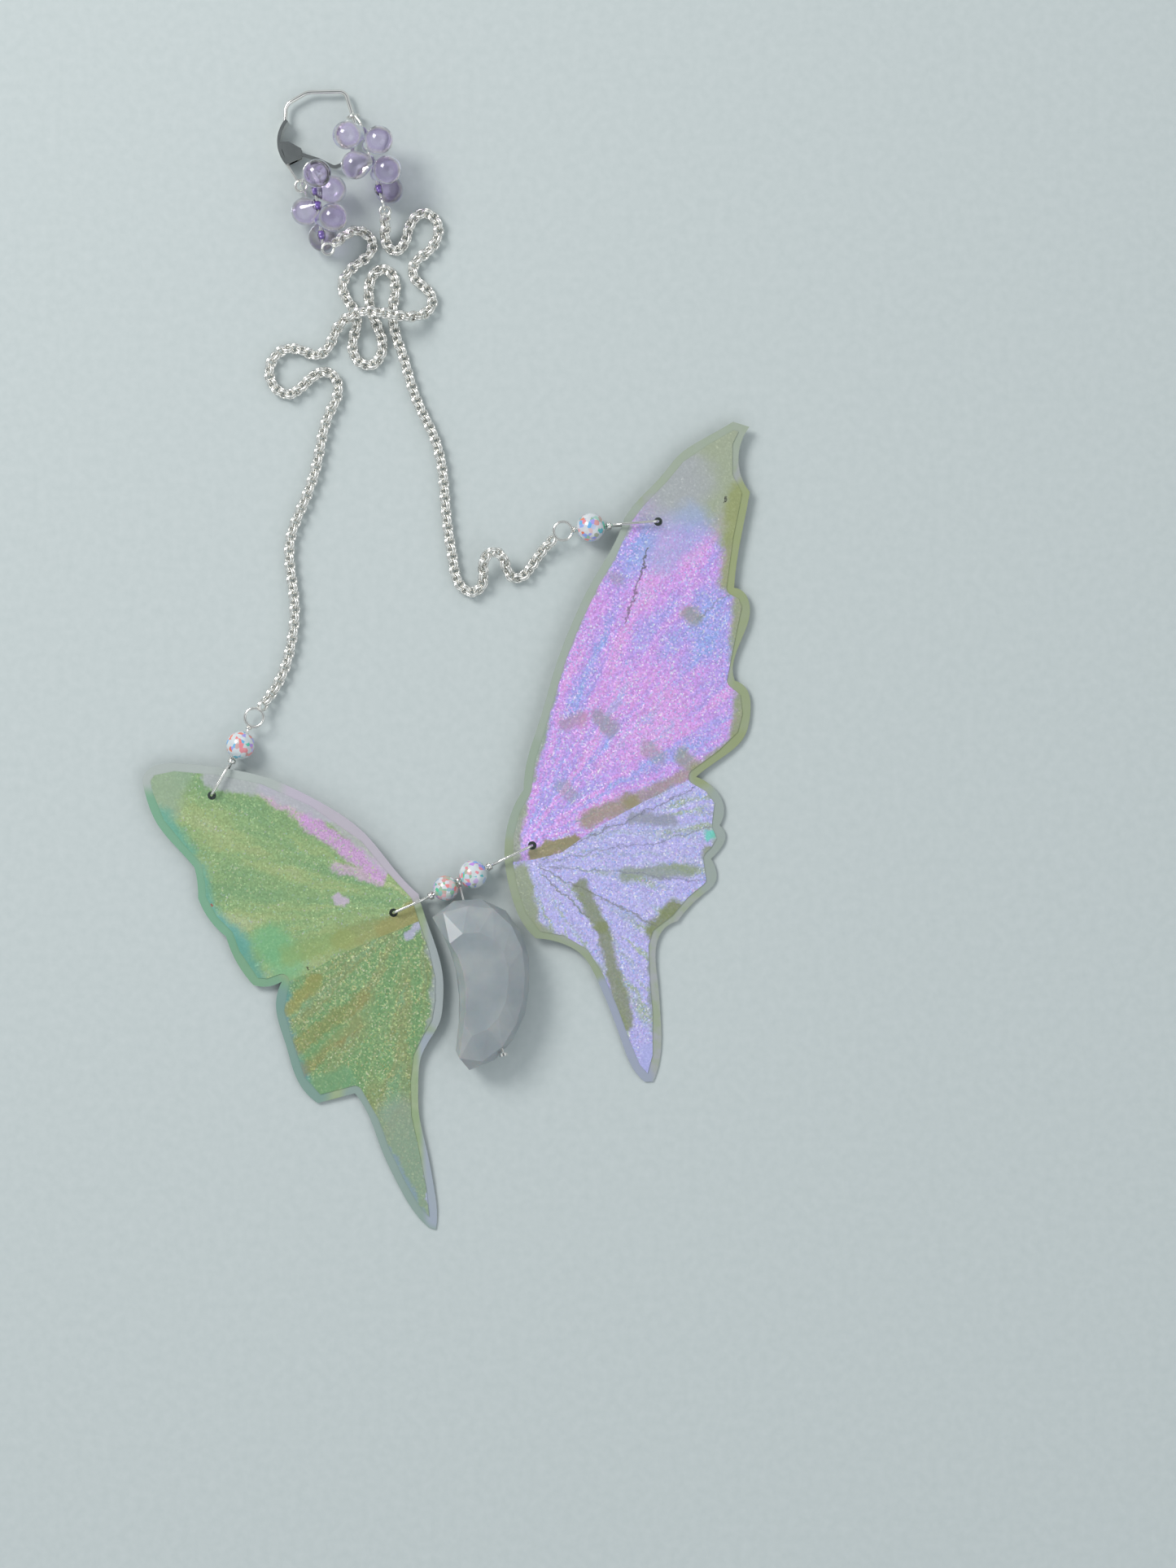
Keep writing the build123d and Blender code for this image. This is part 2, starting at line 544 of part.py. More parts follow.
def chain(route, name):
    """The envelope of a free chain, as a plain tube."""
    radii = corner_radii(route)
    with BuildPart() as tube:
        with BuildLine():
            middle = FilletPolyline(*route, radius=radii)
        with BuildSketch(Plane(origin=middle @ 0, z_dir=middle % 0)):
            Circle(CHAIN / 2)
        sweep(path=middle)
    ideal = pi * (CHAIN / 2) ** 2 * middle.length
    print(name, "length", round(middle.length, 1), "radii", [round(r, 1) for r in radii])
    print(name, "volume", round(tube.part.volume, 1), "section times length", round(ideal, 1))
    save(tube.part, name)


chain(LEFT_CHAIN, "left_chain")
chain(RIGHT_CHAIN, "right_chain")

# ---- Leverback clasp ---------------------------------------------------------------------------
clasp_plane = Plane.XY.offset(CLASP_HEIGHT)

ear_wire = round_wire(
    [raised(place, CLASP_HEIGHT) for place in EAR_WIRE],
    EAR_WIRE_BENDS,
    CLASP_WIRE,
)
save(ear_wire, "clasp_ear_wire")

cheek_gap = LEVER_WIDTH / 2 + CHEEK_PLAY
with BuildPart() as shell:
    with BuildSketch(clasp_plane) as front:
        with BuildLine() as curve:
            ThreePointArc(SHELL_TOP, SHELL_FRONT, SHELL_FOOT)
        trace(curve.line, SHEET)
    extrude(amount=SHELL_WIDTH / 2, both=True)
    for side in (1, -1):
        with BuildSketch(clasp_plane.offset(side * cheek_gap)):
            with BuildLine():
                Polyline(*CHEEK_OUTLINE, close=True)
            make_face()
            with Locations(RIVET_AT):
                Circle(RIVET / 2, mode=Mode.SUBTRACT)
        extrude(amount=side * CHEEK)
save(shell.part, "clasp_shell")

with BuildPart() as lever:
    with BuildSketch(clasp_plane):
        with BuildLine() as arm:
            FilletPolyline(*LEVER_ARM, radius=LEVER_BEND)
        trace(arm.line, SHEET)
        with Locations(RIVET_AT):
            Circle(HUB_RADIUS)
            Circle(RIVET_BORE / 2, mode=Mode.SUBTRACT)
        with Locations(LEVER_TIP):
            Rectangle(TIP_WIDTH, TIP_LENGTH)
    extrude(amount=LEVER_WIDTH / 2, both=True)
save(lever.part, "clasp_lever")

rivet_reach = cheek_gap + CHEEK
with BuildPart() as rivet:
    with BuildSketch(clasp_plane):
        with Locations(RIVET_AT):
            Circle(RIVET / 2)
    extrude(amount=rivet_reach, both=True)
    for side in (1, -1):
        with BuildSketch(clasp_plane.offset(side * rivet_reach)):
            with Locations(RIVET_AT):
                Circle(RIVET)
        extrude(amount=side * RIVET_HEAD)
save(rivet.part, "clasp_rivet")

clasp_ring = joined(
    ring(raised(CLASP_RING, CLASP_HEIGHT), (0, 0, 1), SMALL_EYE_RADIUS),
    rod(raised(RING_STEM_TOP, CLASP_HEIGHT), raised(RING_STEM_FOOT, CLASP_HEIGHT), STEM),
)
save(clasp_ring, "clasp_ring")
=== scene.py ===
"""Looks for the winged pendant necklace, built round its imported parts, in metres."""

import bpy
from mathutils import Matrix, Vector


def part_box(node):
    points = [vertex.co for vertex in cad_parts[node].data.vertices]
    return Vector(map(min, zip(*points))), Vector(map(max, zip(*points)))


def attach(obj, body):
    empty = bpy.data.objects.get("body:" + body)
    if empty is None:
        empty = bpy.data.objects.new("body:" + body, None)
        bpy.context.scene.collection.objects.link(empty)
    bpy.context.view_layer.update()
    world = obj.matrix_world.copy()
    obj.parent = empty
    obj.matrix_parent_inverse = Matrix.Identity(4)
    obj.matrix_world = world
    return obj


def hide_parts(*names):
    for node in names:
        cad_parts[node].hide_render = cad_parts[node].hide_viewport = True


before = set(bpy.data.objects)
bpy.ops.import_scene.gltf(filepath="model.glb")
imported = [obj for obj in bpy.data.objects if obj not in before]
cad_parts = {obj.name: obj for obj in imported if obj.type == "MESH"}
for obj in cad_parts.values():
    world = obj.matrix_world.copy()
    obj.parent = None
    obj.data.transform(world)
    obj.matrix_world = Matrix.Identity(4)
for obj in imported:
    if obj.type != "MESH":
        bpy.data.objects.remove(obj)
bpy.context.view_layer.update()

import bpy
import numpy as np
from mathutils import Vector

MM = 0.001

# ---- Driving dimensions, in millimetres ----------------------------------------------------------
WIRE = 0.4  # 26 gauge beading wire
EYE_RADIUS = 1.3
WRAP_TURNS = 2
WRAP_LENGTH = 0.8
WRAP_RADIUS = WIRE * 0.98
LOOP_HALF_HEIGHT = 1.3
PLAY = 0.08
LINK_WIRE = 0.36
LINK_LENGTH = 1.95
LINK_WIDTH = 1.7
LINK_PITCH = 1.02
LINK_END = LINK_LENGTH * 0.32  # from the chain's end to the middle of its first link
LINK_SIGHT = 0.4  # how far ahead and behind a link looks for its direction
LINK_LEANS = (38, -52)  # degrees, one link and then the next
LINK_STATIONS = 10
LINK_SIDES = 5
DROP_BORE = 0.8
DROP_PITCH = 2.05
LINING_REACH = 0.5  # half the length of the paint in a drop's hole
LINING_GAP = 0.01
LINING_WALL = 0.08
COLLAR_WIRE = 0.16  # radius of the turn between an eye and its bead
COLLAR_LENGTH = 0.3
COLLAR_RADIUS = WIRE * 0.75
STEM_RADIUS = WIRE * 0.45  # the straight wire inside a bead or between two wraps
LINK_AIM = 0.5  # how much of an outer link's own direction its wrap keeps
LOOP_BEND = 0.9
BEND_SHARE = 0.48  # the most of a stretch that the bend at either end of it may take
LOOP_SHOULDER = 0.15  # where a wing's loop reaches its full height, as a share of its reach
OPAL_RADIUS = 2.0
SMALL_OPAL_RADIUS = 1.8  # the bead at the left of the centre link
VIEW_HEIGHT = 220.2  # what the camera sees from bottom to top
VIEW_CENTRE = (19.7, -17.3)
CAMERA_DISTANCE = 520
SENSOR = 36.0


def middle(node):
    """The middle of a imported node's box, in millimetres."""
    low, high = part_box(node)
    return (np.array(low) + np.array(high)) / 2 / MM


# ---- Camera ------------------------------------------------------------------------------------
camera_data = bpy.data.cameras.new("camera")
camera_data.lens = SENSOR * CAMERA_DISTANCE / VIEW_HEIGHT
camera_data.clip_start = 10 * MM
camera_data.clip_end = 20
camera = bpy.data.objects.new("camera", camera_data)
camera.location = (VIEW_CENTRE[0] * MM, VIEW_CENTRE[1] * MM, CAMERA_DISTANCE * MM)
bpy.context.scene.collection.objects.link(camera)
bpy.context.scene.camera = camera
bpy.context.scene.view_settings.view_transform = "Standard"


# ---- Mesh making -------------------------------------------------------------------------------
def unit(vector):
    """A vector, or each row of vectors, over its own length."""
    vector = np.asarray(vector, dtype=float)
    return vector / np.linalg.norm(vector, axis=-1, keepdims=True)


def grid_faces(rows, columns, wrap_rows=False, wrap_columns=False):
    """Four-sided faces over a grid of points numbered row by row."""
    row = np.arange(rows if wrap_rows else rows - 1)[:, None]
    column = np.arange(columns if wrap_columns else columns - 1)[None, :]
    next_row = (row + 1) % rows
    next_column = (column + 1) % columns
    corners = (
        row * columns + column,
        row * columns + next_column,
        next_row * columns + next_column,
        next_row * columns + column,
    )
    return np.stack(corners, axis=-1).reshape(-1, 4)


def new_piece(name, parts, material, smooth=True):
    """One object from several (points in millimetres, faces) pairs."""
    points = []
    faces = []
    count = 0
    for part_points, part_faces in parts:
        points.append(np.asarray(part_points).reshape(-1, 3))
        faces.extend((np.asarray(face) + count).tolist() for face in part_faces)
        count += len(points[-1])
    mesh = bpy.data.meshes.new(name)
    mesh.from_pydata((np.concatenate(points) * MM).tolist(), [], faces)
    mesh.polygons.foreach_set("use_smooth", np.full(len(mesh.polygons), smooth))
    mesh.materials.append(material)
    mesh.update()
    piece = bpy.data.objects.new(name, mesh)
    bpy.context.scene.collection.objects.link(piece)
    return piece


def carried_frames(path, closed):
    """Two directions across a path at every station, carried along it with as little turning as
    possible: each is the last one less its part along the new tangent."""
    if closed:
        tangents = unit(np.roll(path, -1, axis=0) - np.roll(path, 1, axis=0))
    else:
        tangents = unit(np.gradient(path, axis=0))
    start = np.array((0.0, 0.0, 1.0)) if abs(tangents[0][2]) < 0.8 else np.array((1.0, 0.0, 0.0))
    sides = [unit(np.cross(start, tangents[0]))]
    for tangent in tangents[1:]:
        sides.append(unit(sides[-1] - tangent * np.dot(sides[-1], tangent)))
    sides = np.array(sides)
    return tangents, sides, np.cross(tangents, sides)


def tube(path, radius, around=10, closed=False):
    """A round tube: at every station s and angle a, path(s) + radius (cos a side + sin a up)."""
    path = np.asarray(path, dtype=float)
    tangents, sides, ups = carried_frames(path, closed)
    angle = np.linspace(0, 2 * np.pi, around, endpoint=False)[None, :, None]
    points = path[:, None] + radius * (np.cos(angle) * sides[:, None] + np.sin(angle) * ups[:, None])
    faces = list(grid_faces(len(path), around, closed, True))
    if not closed:
        faces.append(np.arange(around)[::-1])
        faces.append(np.arange(around) + (len(path) - 1) * around)
    return points, faces


def circle(centre, axis, radius, stations=40):
    """Stations round a circle: centre + radius (cos a first + sin a second)."""
    axis = unit(axis)
    helper = np.array((0.0, 0.0, 1.0)) if abs(axis[2]) < 0.9 else np.array((1.0, 0.0, 0.0))
    first = unit(np.cross(axis, helper))
    second = np.cross(axis, first)
    angle = np.linspace(0, 2 * np.pi, stations, endpoint=False)[:, None]
    return centre + radius * (np.cos(angle) * first + np.sin(angle) * second)


def sleeve(start, end, outer, inner, around=16):
    """A hollow sleeve: the circles at its four rims, joined in turn outside, across and inside."""
    _, sides, ups = carried_frames(np.array((start, end)), False)
    angle = np.linspace(0, 2 * np.pi, around, endpoint=False)[:, None]
    circle_points = np.cos(angle) * sides[0] + np.sin(angle) * ups[0]
    rims = ((start, outer), (end, outer), (end, inner), (start, inner))
    points = np.stack([place + radius * circle_points for place, radius in rims])
    return points, grid_faces(len(rims), around, True, True)


def helix(start, way, length, radius, turns, per_turn=16):
    """Stations of a wire wound round a straight one: start + s way + radius (cos a, sin a)."""
    way = unit(way)
    first = unit(np.cross(way, (0, 0, 1)))
    second = np.cross(way, first)
    share = np.linspace(0, 1, int(turns * per_turn) + 1)[:, None]
    angle = 2 * np.pi * turns * share
    across = radius * (np.cos(angle) * first + np.sin(angle) * second)
    return start + way * length * share + across


# ---- Material making -----------------------------------------------------------------------------
def linear(hex_colour):
    """An sRGB hex colour as linear red, green, blue and alpha."""
    channels = [int(hex_colour[i:i + 2], 16) / 255 for i in (0, 2, 4)]
    return (*[c / 12.92 if c <= 0.04045 else ((c + 0.055) / 1.055) ** 2.4 for c in channels], 1.0)


def set_inputs(owner, node, inputs):
    """Values and links for the inputs of a node that is already there."""
    for name, value in inputs.items():
        if isinstance(value, bpy.types.NodeSocket):
            owner.node_tree.links.new(value, node.inputs[name])
        else:
            node.inputs[name].default_value = value


def add_node(owner, kind, inputs=None, stops=(), **settings):
    """A node of a material or the sky, with its settings, its inputs and, where it has a colour
    ramp, the ramp's stops."""
    node = owner.node_tree.nodes.new(kind)
    for name, value in settings.items():
        setattr(node, name, value)
    set_inputs(owner, node, inputs or {})
    for number, (position, colour) in enumerate(stops):
        if number > 1:
            node.color_ramp.elements.new(1.0)
        node.color_ramp.elements[number].position = position
        node.color_ramp.elements[number].color = linear(colour)
    return node


def new_material(name):
    """An empty node material and its surface shader."""
    material = bpy.data.materials.new(name)
    material.use_nodes = True
    material.node_tree.nodes.clear()
    shader = add_node(material, "ShaderNodeBsdfPrincipled")
    add_node(material, "ShaderNodeOutputMaterial", {"Surface": shader.outputs[0]})
    return material, shader


def millimetres(material):
    """The place on the piece in millimetres, in the row frame."""
    place = add_node(material, "ShaderNodeTexCoord")
    scaled = add_node(
        material, "ShaderNodeVectorMath",
        {0: place.outputs["Object"], "Scale": 1 / MM}, operation="SCALE",
    )
    return scaled.outputs[0]


# ---- Metals --------------------------------------------------------------------------------------
def polished_metal(name, colour, roughness, grain):
    """Polished sterling silver: drawn or cast, tumbled bright, with fine wear across its shine."""
    material, shader = new_material(name)
    place = millimetres(material)
    wear = add_node(material, "ShaderNodeTexNoise", {"Vector": place, "Scale": grain, "Detail": 4.0})
    rough = add_node(
        material, "ShaderNodeMapRange",
        {0: wear.outputs[0], 1: 0.35, 2: 0.7, 3: roughness, 4: roughness * 2.2},
    )
    bump = add_node(
        material, "ShaderNodeBump",
        {"Height": wear.outputs[0], "Strength": 0.12, "Distance": 0.02 * MM},
    )
    tone = add_node(
        material, "ShaderNodeMix",
        {0: wear.outputs[0], 6: linear(colour), 7: linear("FFFDF8")}, data_type="RGBA",
    )
    set_inputs(material, shader, {
        "Base Color": tone.outputs[2], "Metallic": 1.0, "Roughness": rough.outputs[0],
        "Normal": bump.outputs[0],
    })
    return material


silver_wire = polished_metal("silver wire, drawn and polished", "DEDCD8", 0.1, 1.2)
silver_chain = polished_metal("silver chain, soldered links, tumbled", "F3F1EC", 0.16, 1.6)
silver_clasp = polished_metal("silver clasp, stamped and polished", "E6E4E0", 0.06, 0.6)


# ---- Chains --------------------------------------------------------------------------------------
# Each route runs from a drop cluster to a wing's link. Where it is 0.9 high the chain lies flat.
LEFT_CHAIN = [
    (-15.7, 57.75, 4.9), (-14.4, 59.1, 3.8), (-13.0, 60.2, 2.1), (-11.7, 60.1, 0.9),
    (-10.5, 59.0, 0.9), (-10.5, 57.5, 0.9), (-11.5, 56.3, 0.9), (-13.0, 55.4, 0.9),
    (-14.3, 54.0, 0.9), (-14.9, 52.3, 0.9), (-14.1, 50.6, 0.9), (-12.9, 49.0, 0.9),
    (-12.6, 47.0, 0.9), (-13.3, 45.0, 0.9), (-13.3, 43.0, 0.9), (-12.1, 41.5, 0.9),
    (-10.4, 41.3, 0.9), (-9.3, 42.6, 0.9), (-9.0, 44.5, 0.9), (-9.7, 46.6, 0.9),
    (-10.6, 48.6, 0.9), (-11.1, 50.8, 0.9), (-11.0, 52.9, 0.9), (-10.2, 54.5, 0.9),
    (-8.7, 55.0, 0.9), (-7.5, 54.0, 0.9), (-7.2, 52.4, 0.9), (-7.5, 50.5, 0.9),
    (-7.8, 48.2, 0.9), (-7.2, 45.4, 0.9), (-6.2, 42.8, 0.9), (-5.5, 40.1, 0.9),
    (-4.5, 36.9, 0.9), (-3.3, 34.3, 0.9), (-1.9, 31.6, 0.9), (-1.0, 28.6, 0.9),
    (-0.5, 25.4, 0.9), (-0.3, 21.8, 0.9), (0.1, 18.0, 0.9), (0.7, 14.7, 0.9),
    (1.0, 12.2, 0.9), (1.8, 10.3, 0.9), (3.4, 9.4, 0.9), (4.9, 10.2, 0.9),
    (5.1, 12.1, 1.4), (5.0, 13.9, 2.6), (6.2, 15.3, 3.2), (7.8, 14.7, 2.8),
    (8.2, 13.0, 1.8), (9.0, 11.5, 0.9), (10.5, 11.6, 0.9), (11.7, 13.0, 0.9),
    (12.7, 14.6, 0.9), (13.7, 15.8, 1.3), (15.0, 17.1, 1.9),
]
RIGHT_CHAIN = [
    (-8.6, 62.0, 4.1), (-8.6, 60.7, 2.6), (-8.8, 59.1, 1.2), (-8.1, 57.5, 0.9),
    (-6.7, 57.4, 0.9), (-5.8, 58.8, 0.9), (-5.5, 60.5, 0.9), (-4.7, 62.1, 0.9),
    (-3.3, 62.9, 0.9), (-1.8, 62.2, 0.9), (-1.1, 60.6, 0.9), (-1.5, 58.8, 0.9),
    (-2.6, 57.3, 0.9), (-4.2, 56.3, 0.9), (-5.0, 54.8, 0.9), (-4.5, 53.2, 0.9),
    (-2.9, 52.2, 0.9), (-1.9, 50.6, 0.9), (-2.5, 48.9, 0.9), (-4.1, 48.1, 1.8),
    (-6.2, 47.9, 3.6), (-9.1, 48.4, 4.2), (-11.7, 48.6, 4.2), (-13.8, 48.0, 3.0),
    (-15.3, 46.9, 1.4), (-16.1, 45.1, 0.9), (-16.9, 43.4, 0.9), (-18.5, 42.6, 0.9),
    (-20.3, 43.5, 0.9), (-22.2, 43.9, 0.9), (-23.9, 43.1, 0.9), (-24.9, 41.5, 0.9),
    (-25.0, 39.6, 0.9), (-24.0, 37.9, 0.9), (-22.3, 37.1, 0.9), (-20.7, 38.0, 0.9),
    (-19.2, 39.6, 0.9), (-17.6, 40.6, 0.9), (-16.0, 40.2, 0.9), (-15.2, 38.6, 0.9),
    (-15.5, 36.6, 0.9), (-16.6, 34.7, 0.9), (-17.4, 32.3, 0.9), (-17.9, 29.4, 0.9),
    (-18.6, 26.2, 0.9), (-19.7, 23.1, 0.9), (-21.0, 20.2, 0.9), (-22.1, 17.2, 0.9),
    (-22.2, 13.8, 0.9), (-21.6, 10.1, 0.9), (-21.3, 6.5, 0.9), (-21.8, 2.6, 0.9),
    (-22.7, -1.1, 0.9), (-24.2, -4.1, 0.9), (-25.2, -5.4, 1.3), (-26.1, -6.8, 1.9),
]


def smooth_route(name, route):
    """Closely spaced points of the smooth spline that has the route's points as its controls."""
    curve = bpy.data.curves.new(name, "CURVE")
    curve.dimensions = "3D"
    curve.resolution_u = 8
    spline = curve.splines.new("NURBS")
    spline.points.add(len(route) - 1)
    for point, place in zip(spline.points, route):
        point.co = (place[0] * MM, place[1] * MM, place[2] * MM, 1.0)
    spline.order_u = 3
    spline.use_endpoint_u = True
    carrier = bpy.data.objects.new(name, curve)
    bpy.context.scene.collection.objects.link(carrier)
    mesh = bpy.data.meshes.new_from_object(carrier)
    places = np.empty(len(mesh.vertices) * 3)
    mesh.vertices.foreach_get("co", places)
    bpy.data.objects.remove(carrier)
    bpy.data.meshes.remove(mesh)
    return places.reshape(-1, 3) / MM


def along(path):
    """How far each point of a path lies along it."""
    steps = np.linalg.norm(np.diff(path, axis=0), axis=1)
    return np.concatenate(([0.0], np.cumsum(steps)))


def chain_links(path):
    """Oval rings set along a path, two side by side at each place, leaning one way and then the
    other: ring(a) = place + half length cos a tangent + half width sin a lean, wire round it."""
    far = along(path)
    count = int((far[-1] - LINK_LENGTH * 0.5) / LINK_PITCH)
    stops = np.linspace(LINK_END, far[-1] - LINK_END, count)
    centre = np.stack([np.interp(stops, far, path[:, i]) for i in range(3)], axis=1)
    ahead = np.stack([np.interp(stops + LINK_SIGHT, far, path[:, i]) for i in range(3)], axis=1)
    behind = np.stack([np.interp(stops - LINK_SIGHT, far, path[:, i]) for i in range(3)], axis=1)
    tangent = unit(ahead - behind)
    side = unit(np.cross(tangent, (0, 0, 1)))
    up = np.cross(side, tangent)
    roll = np.where(np.arange(count) % 2 == 0, *np.radians(LINK_LEANS))[:, None]
    lean = np.cos(roll) * side + np.sin(roll) * up
    normal = np.cross(tangent, lean)
    turn = np.linspace(0, 2 * np.pi, LINK_STATIONS, endpoint=False)
    small = np.linspace(0, 2 * np.pi, LINK_SIDES, endpoint=False)
    half_length = (LINK_LENGTH - LINK_WIRE) / 2
    half_width = (LINK_WIDTH - LINK_WIRE) / 2
    radius = LINK_WIRE / 2
    long_part = (half_length + radius * np.cos(small)[None, :]) * np.cos(turn)[:, None]
    wide_part = (half_width + radius * np.cos(small)[None, :]) * np.sin(turn)[:, None]
    thick_part = np.broadcast_to(radius * np.sin(small)[None, :], long_part.shape)
    one = grid_faces(LINK_STATIONS, LINK_SIDES, True, True)[:, ::-1]  # turned to look outward
    parts = []
    for offset in (-0.5, 0.5):
        shift = normal * LINK_WIRE * offset
        points = (
            (centre + shift)[:, None, None]
            + long_part[None, :, :, None] * tangent[:, None, None]
            + wide_part[None, :, :, None] * lean[:, None, None]
            + thick_part[None, :, :, None] * normal[:, None, None]
        )
        starts = (np.arange(count) * LINK_STATIONS * LINK_SIDES)[:, None, None]
        faces = (one[None] + starts).reshape(-1, 4)
        parts.append((points, faces))
    return parts


def lay_chain(node, route):
    """A chain along its route, which ends in the links at both ends."""
    path = smooth_route(node + "_route", route)
    piece = new_piece(node + "_links", chain_links(path), silver_chain)
    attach(piece, "frame")
    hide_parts(node)
    print(node, "length", round(along(path)[-1], 1))


lay_chain("left_chain", LEFT_CHAIN)
lay_chain("right_chain", RIGHT_CHAIN)

# ---- Wire links ----------------------------------------------------------------------------------
LINK_HEIGHT = 2.0
LEFT_EYE = np.array((-27.0, -8.0, LINK_HEIGHT))
LEFT_HOLE = np.array((-32.9, -18.9, LINK_HEIGHT))
LEFT_INNER_HOLE = np.array((-7.5, -35.3, LINK_HEIGHT))
RIGHT_EYE = np.array((16.2, 18.1, LINK_HEIGHT))
RIGHT_HOLE = np.array((29.5, 19.4, LINK_HEIGHT))
RIGHT_INNER_HOLE = np.array((11.9, -25.9, LINK_HEIGHT))


def rounded(points, bend, per_bend=9):
    """A path with its corners rounded: each corner gives way to the quadratic curve between two
    points at a distance bend on either side of it."""
    points = [np.asarray(point, dtype=float) for point in points]
    share = np.linspace(0, 1, per_bend)[:, None]
    stretches = [points[0][None]]
    for before, corner, after in zip(points, points[1:], points[2:]):
        into = corner + unit(before - corner) * min(bend, BEND_SHARE * np.linalg.norm(before - corner))
        out = corner + unit(after - corner) * min(bend, BEND_SHARE * np.linalg.norm(after - corner))
        stretches.append((1 - share) ** 2 * into + 2 * share * (1 - share) * corner + share**2 * out)
    stretches.append(points[-1][None])
    return np.concatenate(stretches)


def wing_loop(neck, hole):
    """The wire that leaves a wrap, runs down through a wing's hole and comes back."""
    reach = hole - neck
    shoulder = neck + reach * LOOP_SHOULDER
    tuck = np.array((0, 0, WIRE / 4))
    rise = np.array((0, 0, LOOP_HALF_HEIGHT))
    inside = neck - unit(reach) * WRAP_LENGTH / 2
    corners = (inside + tuck, shoulder + rise, hole + rise, hole - rise, shoulder - rise, inside - tuck)
    return tube(rounded(corners, LOOP_BEND), WIRE / 2)


def wrap_turns(bead, radius, towards):
    """The tight turns against a bead, and the neck point at their far end."""
    way = unit(towards - bead)
    start = bead + way * (radius + PLAY)
    turns = helix(start + way * WIRE / 2, way, WRAP_LENGTH - WIRE, WRAP_RADIUS, WRAP_TURNS)
    return tube(turns, WIRE / 2), start + way * WRAP_LENGTH


def outer_link(side, eye, bead, hole):
    """Eye, collar, stem through the bead, wrap and loop of one outer link."""
    towards = hole + (bead - eye) * LINK_AIM
    turns, neck = wrap_turns(bead, OPAL_RADIUS, towards)
    to_bead = unit(bead - eye)
    stem = np.linspace(eye + to_bead * EYE_RADIUS, bead + to_bead * (OPAL_RADIUS + WRAP_LENGTH / 2), 8)
    collar_start = EYE_RADIUS + COLLAR_WIRE
    room = np.linalg.norm(bead - eye) - OPAL_RADIUS - PLAY - COLLAR_WIRE - collar_start
    collar = helix(
        eye + to_bead * collar_start, to_bead, min(COLLAR_LENGTH, room), COLLAR_RADIUS, 1,
    )
    parts = [
        tube(circle(eye, (0, 0, 1), EYE_RADIUS), WIRE / 2, closed=True),
        tube(stem, STEM_RADIUS), turns, tube(collar, COLLAR_WIRE), wing_loop(neck, hole),
    ]
    piece = new_piece(side + "_outer_link", parts, silver_wire)
    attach(piece, "frame")
    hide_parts(side + "_outer_link_wire")


left_bead = middle("centre_left_opal")
right_bead = middle("centre_right_opal")
outer_link("left", LEFT_EYE, middle("left_outer_opal"), LEFT_HOLE)
outer_link("right", RIGHT_EYE, middle("right_outer_opal"), RIGHT_HOLE)
centre_way = unit(right_bead - left_bead)
left_turns, left_neck = wrap_turns(left_bead, SMALL_OPAL_RADIUS, left_bead - centre_way)
right_turns, right_neck = wrap_turns(right_bead, OPAL_RADIUS, right_bead + centre_way)
centre_parts = [
    left_turns, right_turns, tube(np.linspace(left_neck, right_neck, 12), STEM_RADIUS),
    wing_loop(left_neck, LEFT_INNER_HOLE), wing_loop(right_neck, RIGHT_INNER_HOLE),
]
centre_link = new_piece("centre_link", centre_parts, silver_wire)
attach(centre_link, "frame")
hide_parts("centre_link_wire")

# ---- Wing films ----------------------------------------------------------------------------------
# Cellophane-backed fairy film: a crinkled dichroic foil bonded to a clear sheet. It gives broad painted
# washes that run out from the wing's root, a fine glitter of single-colour facets about 0.2 mm across,
# and a bare, clear border. The glitter's colours are painted glints, and each facet is made lighter or
# darker as painted light and shade.
GLITTER = 0.2
WAVER = 3.12  # how far the washes' edges wander, in millimetres
STREAK_STRETCH = 0.06  # the smaller, the longer the streaks run out from the root


def strokes_over(material, place, ground, strokes):
    """The ground with soft strokes laid on it in turn: each runs between two points, as wide as its
    half width, and fades out over its softness."""
    colour = ground
    for start, end, half_width, softness, stroke_colour, strength in strokes:
        run = (end[0] - start[0], end[1] - start[1], 0.0)
        square = run[0] ** 2 + run[1] ** 2
        out = add_node(
            material, "ShaderNodeVectorMath",
            {0: place, 1: (start[0], start[1], 0.0)}, operation="SUBTRACT",
        )
        dot = add_node(
            material, "ShaderNodeVectorMath", {0: out.outputs[0], 1: run}, operation="DOT_PRODUCT",
        )
        share = add_node(material, "ShaderNodeMapRange", {0: dot.outputs["Value"], 1: 0.0, 2: square})
        near = add_node(
            material, "ShaderNodeVectorMath",
            {0: run, "Scale": share.outputs[0]}, operation="SCALE",
        )
        gap = add_node(
            material, "ShaderNodeVectorMath",
            {0: out.outputs[0], 1: near.outputs[0]}, operation="DISTANCE",
        )
        mask = add_node(
            material, "ShaderNodeMapRange",
            {0: gap.outputs["Value"], 1: half_width, 2: half_width + softness, 3: strength, 4: 0.0},
            interpolation_type="SMOOTHSTEP",
        )
        mix = add_node(
            material, "ShaderNodeMix",
            {0: mask.outputs[0], 6: colour, 7: linear(stroke_colour)}, data_type="RGBA",
        )
        colour = mix.outputs[2]
    return colour


